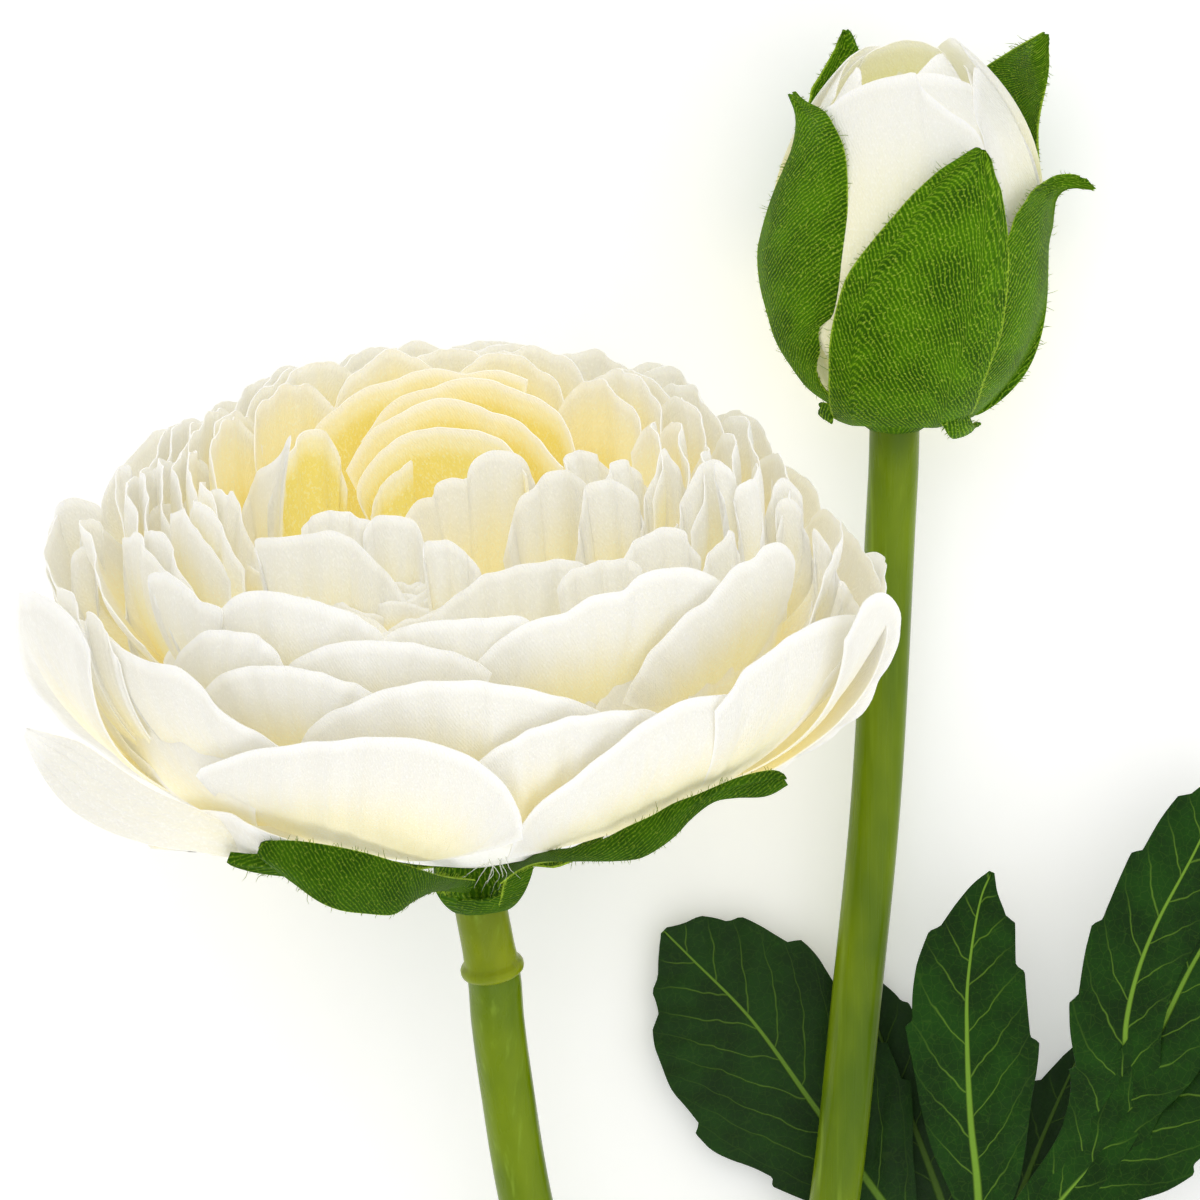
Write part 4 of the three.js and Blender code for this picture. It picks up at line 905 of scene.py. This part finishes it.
def make_bloom(material):
    place = flower_frame(BLOOM)
    pile = Pile()
    # The heart's pit takes the deepest painted warm shade, the rest of the heart less.
    pile.turned(HEART, 64, *place, share=(1.0, 0.0, 1.0), pit=HOLLOW, pit_from=HEART_PIT)
    draw = seeded(PETAL_SEED)
    for row, petals in enumerate(OUTER_ROWS):
        for petal in petals:
            shape = outer_petal(petal, row, draw)
            add_petal(pile, place, shape, BACK_MESH, PETAL_THICK, 0.1 + 0.1 * row)
    widest, rise = DOME_RINGS[0][0], math.radians(BLOOM["rise"])
    for radius, count, width in DOME_RINGS:
        inward = (widest - radius) / RING_DRIFT
        middle = (HOLLOW[0] * inward, HOLLOW[1] * inward)
        turn = draw()
        for i in range(count):
            angle = (i + turn + (draw() - 0.5) * 0.3) / count * TAU
            shape = dome_petal(angle, radius, middle, width, draw)
            add_petal(pile, place, shape, RING_MESH, PETAL_THICK, 0.4 + 0.6 * inward)
    for petal in OUTER_DRAWN:
        row = 2 - min(2, max(0, (petal[0] - 36) / 4))
        shape = drawn_petal((0, 0, *petal), row, draw)
        if petal is OUTER_DRAWN[0]:
            shape.update(ladder=True, heights=FIRST_HEIGHTS, pale=0.75)
        add_petal(pile, place, shape, DRAWN_MESH, PETAL_THICK, 0.1 + 0.1 * row)
    for petal in DOME_DRAWN:
        depth = 0.25 if petal[2] > 0 else 0.95
        add_petal(pile, place, drawn_petal(petal, None, draw), DRAWN_MESH, PETAL_THICK, depth)
    draw = seeded(PETAL_SEED + 1)
    start, end = OPEN_SIDE[0] - LOW_MARGIN, OPEN_SIDE[1] + LOW_MARGIN
    for radius, count, width in LOW_RINGS:
        inward = min(1, (widest - radius) / RING_DRIFT)
        middle = (HOLLOW[0] * inward, HOLLOW[1] * inward)
        for i in range(count):
            angle = math.radians(start + (end - start) * (i + draw()) / count)
            shape = dome_petal(angle, radius, middle, width, draw)
            r, h = shape["line"][-1]
            y = middle[1] + radius * math.sin(angle)
            sight = LOW_SIGHT[0] if math.cos(angle) < 0 else LOW_SIGHT[1]
            h = min(h, (sight - math.sin(rise) * y) / math.cos(rise))
            shape["line"] = ((0.8 * r, h - 16), (0.92 * r, h - 10), (r + 1.4, h - 5), (r, h))
            add_petal(pile, place, shape, LOW_MESH, PETAL_THICK, 0.55)
    draw = seeded(PETAL_SEED + 2)
    for petal in SIDE_DRAWN:
        add_petal(pile, place, side_petal(petal, draw), SIDE_MESH, PETAL_THICK, 0.15)
    bloom = pile.object("bloom", material)
    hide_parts("bloom_petals")
    return bloom


# ---------------------------------------------------------------- sepals and bud
def drawn_sepal(flower, line, far, grain, outline, k):
    return dict(flower=flower, line=line, outline=outline, far=far, ring=max(r for r, h in line),
                phase=0.31 * k % 1, grain=grain, wave=0.15, waves=1.4, streak=0.012, fibres=True)


def make_calyx(material):
    place = flower_frame(BLOOM)
    pile = Pile()
    # The depths given here darken the calyx with painted shade.
    pile.turned(BLOOM_CUP, 40, *place, share=(0.2, 0.3, 0.5), wave=0.02)
    for k, (angle, radius, height, width) in enumerate(BLOOM_SEPALS):
        line = ((2.4, 2.2), (10, 1.2), (0.72 * radius, height - 8.5), (radius, height))
        shape = dict(angle=math.radians(angle), line=line, width=width, spread=leafy, start=0.08,
                     phase=0.21 * k, wave=0.45, waves=1.4, streak=0.03)
        add_petal(pile, place, shape, REAR_SEPAL_MESH, SEPAL_THICK, 0.8)
    for k, (line, grain, outline) in enumerate(CALYX_DRAWN):
        shape = drawn_sepal(BLOOM, line, -1, grain, outline, k)
        if k < len(SEPAL_HEIGHTS):
            shape.update(wave=0.4, ladder=True, heights=SEPAL_HEIGHTS[k])
        add_petal(pile, place, shape, FRONT_SEPAL_MESH, SEPAL_THICK, 1.0)
    calyx = pile.object("calyx", material)
    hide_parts("bloom_calyx")
    return calyx


def make_bud(petal_cloth, sepal_cloth):
    place = flower_frame(BUD)
    pile = Pile()
    pile.turned(BUD_HEART, 36, *place, share=(0.2, 0.0, 0.9))
    for k, (angle, radius, height, width, belly) in enumerate(BUD_PETALS):
        line = ((0.72 * belly, 5), (1.08 * belly, 15), (1.05 * belly, height - 10),
                (radius, height))
        shape = dict(angle=math.radians(angle), line=line, width=width, start=0.2, twist=0.05,
                     arcs=(0.08, 0.08), spread=lambda v: np.sin(np.pi * (0.2 + 0.5 * v)),
                     min_radius=4.5, phase=0.37 * k % 1, wave=0.1, streak=0.012)
        add_petal(pile, place, shape, BUD_PETAL_MESH, PETAL_THICK, 0.3)
    for k, (wide, far, depth, outline) in enumerate(BUD_DRAWN):
        line = tuple((r * wide, h) for r, h in BUD_SHELL)
        shape = drawn_sepal(BUD, line, far, 0.0, outline, k)
        shape.update(streak=0.02, wave=0.05, fibres=False)
        add_petal(pile, place, shape, BUD_DRAWN_MESH, PETAL_THICK, depth)
    petals = pile.object("bud_cloth", petal_cloth)
    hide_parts("bud_petals")

    pile = Pile()
    pile.turned(BUD_CUP, 40, *place, share=(0.1, 0.3, 0.5), wave=0.02)
    for k, (far, line, grain, outline) in enumerate(BUD_SEPALS):
        shape = drawn_sepal(BUD, line, far, grain, outline, k)
        shape["ladder"] = True
        add_petal(pile, place, shape, BUD_SEPAL_MESH, SEPAL_THICK, 0.0)
    sepals = pile.object("bud_green", sepal_cloth)
    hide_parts("bud_sepals")
    return petals, sepals


def make_threads(material):
    """Hot glue drawn out into threads between the bloom and its calyx."""
    pile = Pile()
    draw = seeded(THREAD_SEED)
    for points, radius in GLUE:
        spots = np.array(points, float)
        spots[:, :2] = from_view(spots[:, :2])
        line, _ = catmull(spots, THREAD_STEPS)
        line = line + 0.05 * np.array([[draw() - 0.5 for _ in range(3)] for _ in line])
        pile.tube(line, radius * np.linspace(1, THREAD_END, THREAD_STEPS), 6, (0.9, 0.5, 0.2))
    threads = pile.object("glue_threads", material)
    return threads


# ---------------------------------------------------------------- stems
def make_stems(material, stub_material):
    pile = Pile()
    for points, radius in ((BLOOM_STEM, BLOOM_STEM_RADIUS), (BUD_STEM, BUD_STEM_RADIUS),
                           (LEAF_STEM, LEAF_STEM_RADIUS)):
        line, _ = catmull([*points, FORK], 120)
        pile.tube(line, radius, STEM_SIDES, (0, 0, 0), flute=FLUTE)
    line, _ = catmull([FORK, MAIN_STEM_MIDDLE, STEM_END], 60)
    taper = np.linspace(*MAIN_STEM_TAPER, 60)
    pile.tube(line, MAIN_STEM_RADIUS * taper, STEM_SIDES, (0, 0, 0), flute=FLUTE)
    stem = pile.object("stems", material, sharp=60)
    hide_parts("stem")

    pile = Pile()
    top, end = np.array(STUB_TOP), np.array(STUB_END)
    axis = Vector(top - end).normalized()
    turn = np.array(Vector((0, 0, 1)).rotation_difference(axis).to_matrix())
    length = float(np.linalg.norm(top - end))
    profile = [(0, 0), (2.75, 0), (2.95, 0.12), (3.2, 0.3), (COLLAR_RADIUS, 0.6),
               (COLLAR_RADIUS, 0.95), (3.15, 1.25), (2.88, 1.45), (2.78, 1.7), (2.72, 3),
               (2.7, length - 1), (2.66, length - 0.5), (2.5, length - 0.15), (2.2, length),
               (0, length)]
    pile.turned(profile, 48, turn, end, (0, 0, 0))
    stub = pile.object("stub", stub_material, sharp=60)
    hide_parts("bloom_stub")
    return stem, stub


# ---------------------------------------------------------------- leaves
def saw(teeth, at):
    """A saw edge: it swells towards each tooth's point and drops back just past it."""
    if not len(teeth):
        return np.zeros_like(at)
    marks = np.concatenate([[teeth[0] - 0.14], teeth])
    k = np.clip(np.searchsorted(marks, at, side="left"), 1, len(marks) - 1)
    rise = np.clip((at - marks[k - 1] - TOOTH_DROP) / (marks[k] - marks[k - 1] - TOOTH_DROP), 0, 1)
    fall = np.clip(1 - (at - marks[k - 1]) / TOOTH_DROP, 0, 1) * (k > 1)
    past = np.clip(1 - (at - marks[-1]) / TOOTH_DROP, 0, 1)
    return np.where(at > marks[-1], past, np.maximum(rise ** 1.3, fall))


def leaf_grid(leaf, columns, rows):
    line, length = catmull(leaf["rib"], rows)
    v = np.linspace(0, 1, rows)
    ahead = np.gradient(line, axis=0)
    ahead /= np.linalg.norm(ahead, axis=1, keepdims=True)
    across = np.stack([ahead[:, 1], -ahead[:, 0], np.zeros(rows)], axis=1)
    across /= np.linalg.norm(across, axis=1, keepdims=True)
    u = np.linspace(-1, 1, columns)
    left = rounded(leaf["left"], v)
    right = rounded(leaf["right"], v)
    teeth = [leaf["depth"] * saw(np.array(t), v) for t in leaf["teeth"]]
    grid = np.zeros((rows, columns, 3))
    cloth = np.zeros((rows, columns, 3))
    for i, s in enumerate(u):
        half = (left + teeth[0] * abs(s) ** 2) if s < 0 else (right + teeth[1] * abs(s) ** 2)
        out = s * half
        grid[:, i] = line + across * out[:, None]
        grid[:, i, 2] += leaf["cup"] * abs(s) * half
        cloth[:, i, 0] = out
        cloth[:, i, 1] = v * length
    return grid, cloth, u, v


def make_leaves(material):
    pile = Pile()
    hub = [(0, -HUB_RADIUS), (1.2, -1.6), (1.8, -0.8), (HUB_RADIUS, 0), (1.8, 0.8), (1.2, 1.6),
           (0, HUB_RADIUS)]
    pile.turned(hub, 24, np.eye(3), np.array(HUB, float), (0, 0, 1))
    for k, (name, leaf) in enumerate(LEAVES.items()):
        grid, cloth, u, v = leaf_grid(leaf, *LEAF_MESH)
        vein = np.abs(np.sin(np.pi * (cloth[:, :, 1] - np.abs(cloth[:, :, 0])) / VEIN_SPACING))
        pleated = smooth(np.abs(u), 0.05, 0.5)[None, :]
        grid[:, :, 2] += PLEAT_RISE * vein * pleated * smooth(v, 0.2, 0.4)[:, None]
        grid[:, :, 2] = np.maximum(grid[:, :, 2], LEAF_THICK / 2 + CLEAR)
        cloth[:, :, 2] = k
        share = np.zeros_like(grid)
        share[:, :, 0] = v[:, None]
        share[:, :, 1] = np.abs(u)[None, :]
        share[:, :, 2] = LEAF_DARK.get(name, 0.0)
        pile.blade(grid, LEAF_THICK, cloth, share, rim=0.6)
    leaves = pile.object("leaves", material)
    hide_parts("leaf_cluster")
    return leaves


# ---------------------------------------------------------------- materials
def colour(text):
    """Linear colour of a hexadecimal screen colour."""
    parts = [int(text[k:k + 2], 16) / 255 for k in (1, 3, 5)]
    return [c / 12.92 if c <= 0.04045 else ((c + 0.055) / 1.055) ** 2.4 for c in parts] + [1.0]


class Shader:
    """Short hand for a material's nodes."""

    def __init__(self, name):
        self.material = bpy.data.materials.new(name)
        self.material.use_nodes = True
        self.tree = self.material.node_tree
        self.base = self.tree.nodes["Principled BSDF"]

    def node(self, kind, inputs=(), **settings):
        made = self.tree.nodes.new(kind)
        for key, value in settings.items():
            setattr(made, key, value)
        for key, value in dict(inputs).items():
            self.put(made.inputs[key], value)
        return made

    def put(self, socket, value):
        if isinstance(value, bpy.types.NodeSocket):
            self.tree.links.new(value, socket)
        else:
            socket.default_value = value

    def math(self, operation, *values, clamp=False):
        return self.node("ShaderNodeMath", dict(enumerate(values)), operation=operation,
                         use_clamp=clamp).outputs[0]

    def read(self, name):
        parts = self.node("ShaderNodeSeparateXYZ", {0: self.node(
            "ShaderNodeAttribute", attribute_name=name).outputs["Vector"]})
        return parts.outputs

    def vector(self, x=0.0, y=0.0, z=0.0):
        return self.node("ShaderNodeCombineXYZ", {0: x, 1: y, 2: z}).outputs[0]

    def noise(self, vector, scale, detail=3.0, rough=0.55):
        return self.node("ShaderNodeTexNoise", {
            "Vector": vector, "Scale": scale, "Detail": detail, "Roughness": rough}).outputs["Fac"]

    def mix(self, share, low, high):
        made = self.node("ShaderNodeMix", {0: share}, data_type="RGBA")
        self.put(made.inputs[6], low)
        self.put(made.inputs[7], high)
        return made.outputs[2]

    def range(self, value, low, high, to_low=0.0, to_high=1.0):
        return self.node("ShaderNodeMapRange", {
            "Value": value, "From Min": low, "From Max": high, "To Min": to_low, "To Max": to_high,
        }, interpolation_type="SMOOTHSTEP").outputs[0]

    def bump(self, height, strength, distance):
        made = self.node("ShaderNodeBump",
                         {"Height": height, "Strength": strength, "Distance": distance})
        self.put(self.base.inputs["Normal"], made.outputs[0])

    def set(self, **values):
        for key, value in values.items():
            self.put(self.base.inputs[key.replace("_", " ")], value)


def twill(shader, x, y, pitch, slant):
    """Height of diagonal cords of a woven cloth, 0 to 1."""
    wobble = shader.noise(shader.vector(x, y), 0.6, 2.0)
    across = shader.math("ADD", shader.math("MULTIPLY", y, slant), x)
    across = shader.math("ADD", across, shader.math("MULTIPLY", wobble, 0.7))
    wave = shader.math("SINE", shader.math("MULTIPLY", across, TAU / pitch))
    return shader.math("MULTIPLY_ADD", wave, 0.5, 0.5)


def petal_material(name, white, cream, deep, painted_glow_colour):
    s = Shader(name)
    x, y, phase = s.read("place")
    v, u, depth = s.read("share")
    along = s.vector(s.math("MULTIPLY", x, 1.1), s.math("MULTIPLY", y, 0.06), phase)
    streaks = s.noise(along, 1.0, 3.0)
    cords = twill(s, x, y, 0.36, 0.55)
    # Painted warm shade: cream, then deep yellow, towards the petals' roots and the deeper a petal
    # lies in the flower and its hollow.
    low = s.math("SUBTRACT", 1.0, s.range(v, 0.55, 1.0))
    warm_shade = s.math("MULTIPLY", low, s.math("MULTIPLY_ADD", depth, 0.9, 0.55))
    inner = s.math("MULTIPLY", s.range(depth, 0.5, 1.0, 0.0, 0.85), s.range(v, 0.9, 1.0, 1.0, 0.4))
    warm_shade = s.math("ADD", warm_shade, inner)
    warm_shade = s.math("ADD", warm_shade, s.math("MULTIPLY_ADD", streaks, 0.2, -0.1), clamp=True)
    tint = s.mix(s.range(warm_shade, 0.0, 0.5), colour(white), colour(cream))
    tint = s.mix(s.range(warm_shade, 0.5, 1.0), tint, colour(deep))
    # Painted highlight: a whiter line along the petals' rims.
    edge = s.math("MAXIMUM", s.range(u, 0.95, 1.0, 0.0, 0.7), s.range(v, 0.965, 0.995, 0.0, 0.7))
    tint = s.mix(edge, tint, colour("#fbfaf6"))
    # Painted glints of the satin: the speckle lightens the colour, and also makes bumps and changes
    # the roughness.
    speckle = s.noise(s.vector(x, s.math("MULTIPLY", y, 0.6), phase), 4.2, 2.0)
    tint = s.mix(s.range(speckle, 0.5, 0.72, 0.0, 0.35), tint, colour("#fbfaf4"))
    # Painted glow: the petals emit light that lifts their shade, greyish on pale parts and warmer
    # in the warm shade.
    painted_glow = s.mix(warm_shade, colour("#b4b3aa"), colour(painted_glow_colour))
    height = s.math("ADD", s.math("MULTIPLY", cords, 0.14), s.math("MULTIPLY", streaks, 0.9))
    height = s.math("ADD", height, s.math("MULTIPLY", speckle, 0.6))
    s.bump(height, 0.9, 0.00016)
    # The emission is the painted glow.
    s.set(Base_Color=tint, Roughness=s.range(speckle, 0.3, 0.7, 0.5, 0.34), Subsurface_Weight=0.2,
          Subsurface_Radius=(1.0, 0.9, 0.6), Subsurface_Scale=0.0008, Sheen_Weight=0.1,
          Sheen_Roughness=0.4, Emission_Color=painted_glow, Emission_Strength=0.3)
    return s.material


def sepal_material():
    s = Shader("green_twill")
    x, y, phase = s.read("place")
    _, u, depth = s.read("share")
    cords = twill(s, x, y, 0.42, 0.0)
    cloud = s.noise(s.vector(x, y, phase), 0.22, 3.0)
    fleck = s.noise(s.vector(x, y, phase), 3.2, 2.0)
    tint = s.mix(s.range(cloud, 0.3, 0.7), colour("#2a5000"), colour("#467600"))
    beads = s.math("MULTIPLY_ADD", s.math("SINE", s.math("MULTIPLY", y, TAU / 0.55)), 0.3, 0.7)
    ridge = s.math("MULTIPLY", s.range(cords, 0.5, 1.0), beads)
    tint = s.mix(s.math("MULTIPLY", ridge, 0.62), tint, colour("#8ebc20"))
    tint = s.mix(s.range(fleck, 0.56, 0.72, 0.0, 0.7), tint, colour("#b0ca48"))
    # Painted shade: darker by the blade's depth share, most on the calyx's sepals, none on the
    # bud's sepals.
    tint = s.mix(s.math("MULTIPLY", depth, 0.5), tint, colour("#1c3c00"))
    # A lighter rim: frayed yarn, and a painted rim highlight.
    ragged = s.math("ADD", u, s.math("MULTIPLY_ADD", fleck, 0.1, -0.06))
    fray_and_rim_highlight = s.range(ragged, 0.955, 0.995, 0.0, 0.8)
    tint = s.mix(fray_and_rim_highlight, tint, colour("#a9c83a"))
    height = s.math("ADD", s.math("MULTIPLY", cords, 0.7), s.math("MULTIPLY", fleck, 0.5))
    s.bump(height, 0.7, 0.00014)
    s.set(Base_Color=tint, Roughness=s.range(fleck, 0.3, 0.7, 0.5, 0.7), Specular_IOR_Level=0.06)
    return s.material


def glue_material():
    s = Shader("glue")
    where = s.node("ShaderNodeTexCoord").outputs["Object"]
    bubbles = s.noise(where, 2400, 2.0)
    s.bump(bubbles, 0.4, 0.00005)
    s.set(Base_Color=s.mix(bubbles, colour("#dfe3d2"), colour("#f4f4ea")),
          Roughness=s.range(bubbles, 0.3, 0.7, 0.15, 0.3), Transmission_Weight=0.3)
    return s.material


def leaf_material():
    s = Shader("printed_leaf")
    x, y, which = s.read("place")
    v, u, dark = s.read("share")
    out = s.math("ABSOLUTE", x)
    side = s.math("MULTIPLY", s.math("SIGN", x), 1.5)
    wander = s.math("MULTIPLY_ADD", s.noise(s.vector(x, y, which), 0.25, 2.0), 2.4, -1.2)
    slant = s.math("SUBTRACT", s.math("ADD", y, side), out)
    slant = s.math("ADD", slant, wander)
    slant = s.math("ADD", slant, s.math("MULTIPLY", s.math("MULTIPLY", out, out), -0.06))
    phase = s.math("PINGPONG", slant, VEIN_SPACING / 2)
    branch = s.range(phase, 0.02, 0.2, 1.0, 0.0)
    branch = s.math("MULTIPLY", branch, s.range(u, 0.95, 0.3, 0.08, 0.5))
    rib_width = s.range(v, 0.1, 1.0, 0.5, 0.13)
    rib = s.range(s.math("DIVIDE", out, rib_width), 0.5, 1.2, 1.0, 0.0)
    cells = s.node("ShaderNodeTexVoronoi", {"Vector": s.vector(x, y, which), "Scale": 1.1},
                   feature="DISTANCE_TO_EDGE").outputs["Distance"]
    net = s.range(cells, 0.0, 0.05, 0.07, 0.0)
    veins = s.math("MAXIMUM", s.math("MAXIMUM", branch, rib), net)
    cloud = s.noise(s.vector(x, y, which), 0.2, 4.0)
    grain = s.noise(s.vector(x, y, which), 2.5, 3.0)
    tint = s.mix(s.range(cloud, 0.3, 0.7), colour("#0f2d03"), colour("#194206"))
    tint = s.mix(s.range(grain, 0.55, 0.8, 0.0, 0.3), tint, colour("#37701a"))
    tint = s.mix(s.math("MULTIPLY", veins, 0.75), tint, colour("#83ae38"))
    # Each leaf is darkened by its share in LEAF_DARK.
    tint = s.mix(s.math("MULTIPLY", dark, 0.6), tint, colour("#2b3f26"))
    height = s.math("ADD", s.math("MULTIPLY", veins, -0.8), s.math("MULTIPLY", grain, 0.5))
    s.bump(height, 0.6, 0.0002)
    s.set(Base_Color=tint, Roughness=s.range(grain, 0.3, 0.7, 0.42, 0.6), Specular_IOR_Level=0.12)
    return s.material


def stem_material(name, dark, light):
    s = Shader(name)
    where = s.node("ShaderNodeTexCoord").outputs["Object"]
    x, y, z = s.node("ShaderNodeSeparateXYZ", {0: where}).outputs
    stretched = lambda across, along: s.vector(
        s.math("MULTIPLY", x, across), s.math("MULTIPLY", y, along), s.math("MULTIPLY", z, across))
    streaks = s.noise(stretched(900, 28), 1.0, 3.0)
    cloud = s.noise(stretched(120, 40), 1.0, 3.0)
    tint = s.mix(s.range(cloud, 0.3, 0.7), colour(dark), colour(light))
    # Painted highlight: lighter streaks along the stems.
    tint = s.mix(s.range(streaks, 0.55, 0.8, 0.0, 0.5), tint, colour("#93b035"))
    s.bump(streaks, 0.35, 0.00025)
    s.set(Base_Color=tint, Roughness=s.range(streaks, 0.3, 0.7, 0.24, 0.38),
          Specular_IOR_Level=0.18, Coat_Weight=0.08, Coat_Roughness=0.15)
    return s.material


def floor_material():
    s = Shader("pale_floor")
    grain = s.noise(s.node("ShaderNodeTexCoord").outputs["Object"], 400, 2.0)
    s.set(Base_Color=s.mix(grain, colour("#f5f5f4"), colour("#f8f8f8")), Roughness=0.9,
          Emission_Color=(1, 1, 1, 1), Emission_Strength=0.26)
    return s.material


# ---------------------------------------------------------------- camera, floor and light
def point_of_view():
    data = bpy.data.cameras.new("camera")
    data.sensor_width = SENSOR
    data.lens = SENSOR * CAMERA_DISTANCE / FRAME_WIDTH
    data.clip_end = 10
    camera = bpy.data.objects.new("camera", data)
    height = FRAME_HEIGHT_ABOVE_TABLE + CAMERA_DISTANCE
    camera.location = Vector((-ORIGIN[0], -ORIGIN[1], height)) * MM
    bpy.context.scene.collection.objects.link(camera)
    bpy.context.scene.camera = camera


def softbox(name, place, aim, size, power):
    data = bpy.data.lights.new(name, "AREA")
    data.size = size
    data.energy = power
    light = bpy.data.objects.new(name, data)
    light.location = place
    light.rotation_euler = (Vector(aim) - Vector(place)).to_track_quat("-Z", "Y").to_euler()
    bpy.context.scene.collection.objects.link(light)


def studio():
    mesh = bpy.data.meshes.new("floor")
    corners = [(-1, -1), (1, -1), (1, 1), (-1, 1)]
    mesh.from_pydata([(x * FLOOR_REACH, y * FLOOR_REACH, 0) for x, y in corners],
                     [], [(0, 1, 2, 3)])
    mesh.materials.append(floor_material())
    floor = bpy.data.objects.new("floor", mesh)
    bpy.context.scene.collection.objects.link(floor)
    softbox("key", (-0.12, 0.55, 0.95), (0, 0.04, 0.03), 0.7, 1.4)
    softbox("front", (0.05, -0.7, 0.32), (-0.02, 0.0, 0.04), 0.7, 1.1)
    softbox("fill", (0.7, -0.3, 0.8), (0, 0.04, 0.03), 0.9, 1.0)
    softbox("top", (0.0, 0.0, 1.4), (0, 0.04, 0.0), 1.0, 0.6)
    world = bpy.data.worlds.new("world")
    world.use_nodes = True
    world.node_tree.nodes["Background"].inputs["Color"].default_value = (1, 1, 1, 1)
    world.node_tree.nodes["Background"].inputs["Strength"].default_value = 0.76
    bpy.context.scene.world = world
    bpy.context.scene.view_settings.view_transform = "Standard"


point_of_view()
studio()
# Colours: white, cream and deep yellow of the painted warm shade, and the painted glow in that
# shade.
cloth = petal_material("petal_satin", "#e6e4dc", "#f0e7bd", "#e3d36a", "#d6c884")
bud_cloth = petal_material("bud_satin", "#e9e8df", "#e8e5cc", "#dfdb9c", "#cfcda0")
twill_cloth = sepal_material()
made = [make_bloom(cloth), make_calyx(twill_cloth), *make_bud(bud_cloth, twill_cloth),
        *make_stems(stem_material("stem_gloss", "#506c00", "#778e00"),
                    stem_material("stub_gloss", "#708200", "#9aa600")),
        make_leaves(leaf_material()), make_threads(glue_material())]
for piece in made:
    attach(piece, "root")
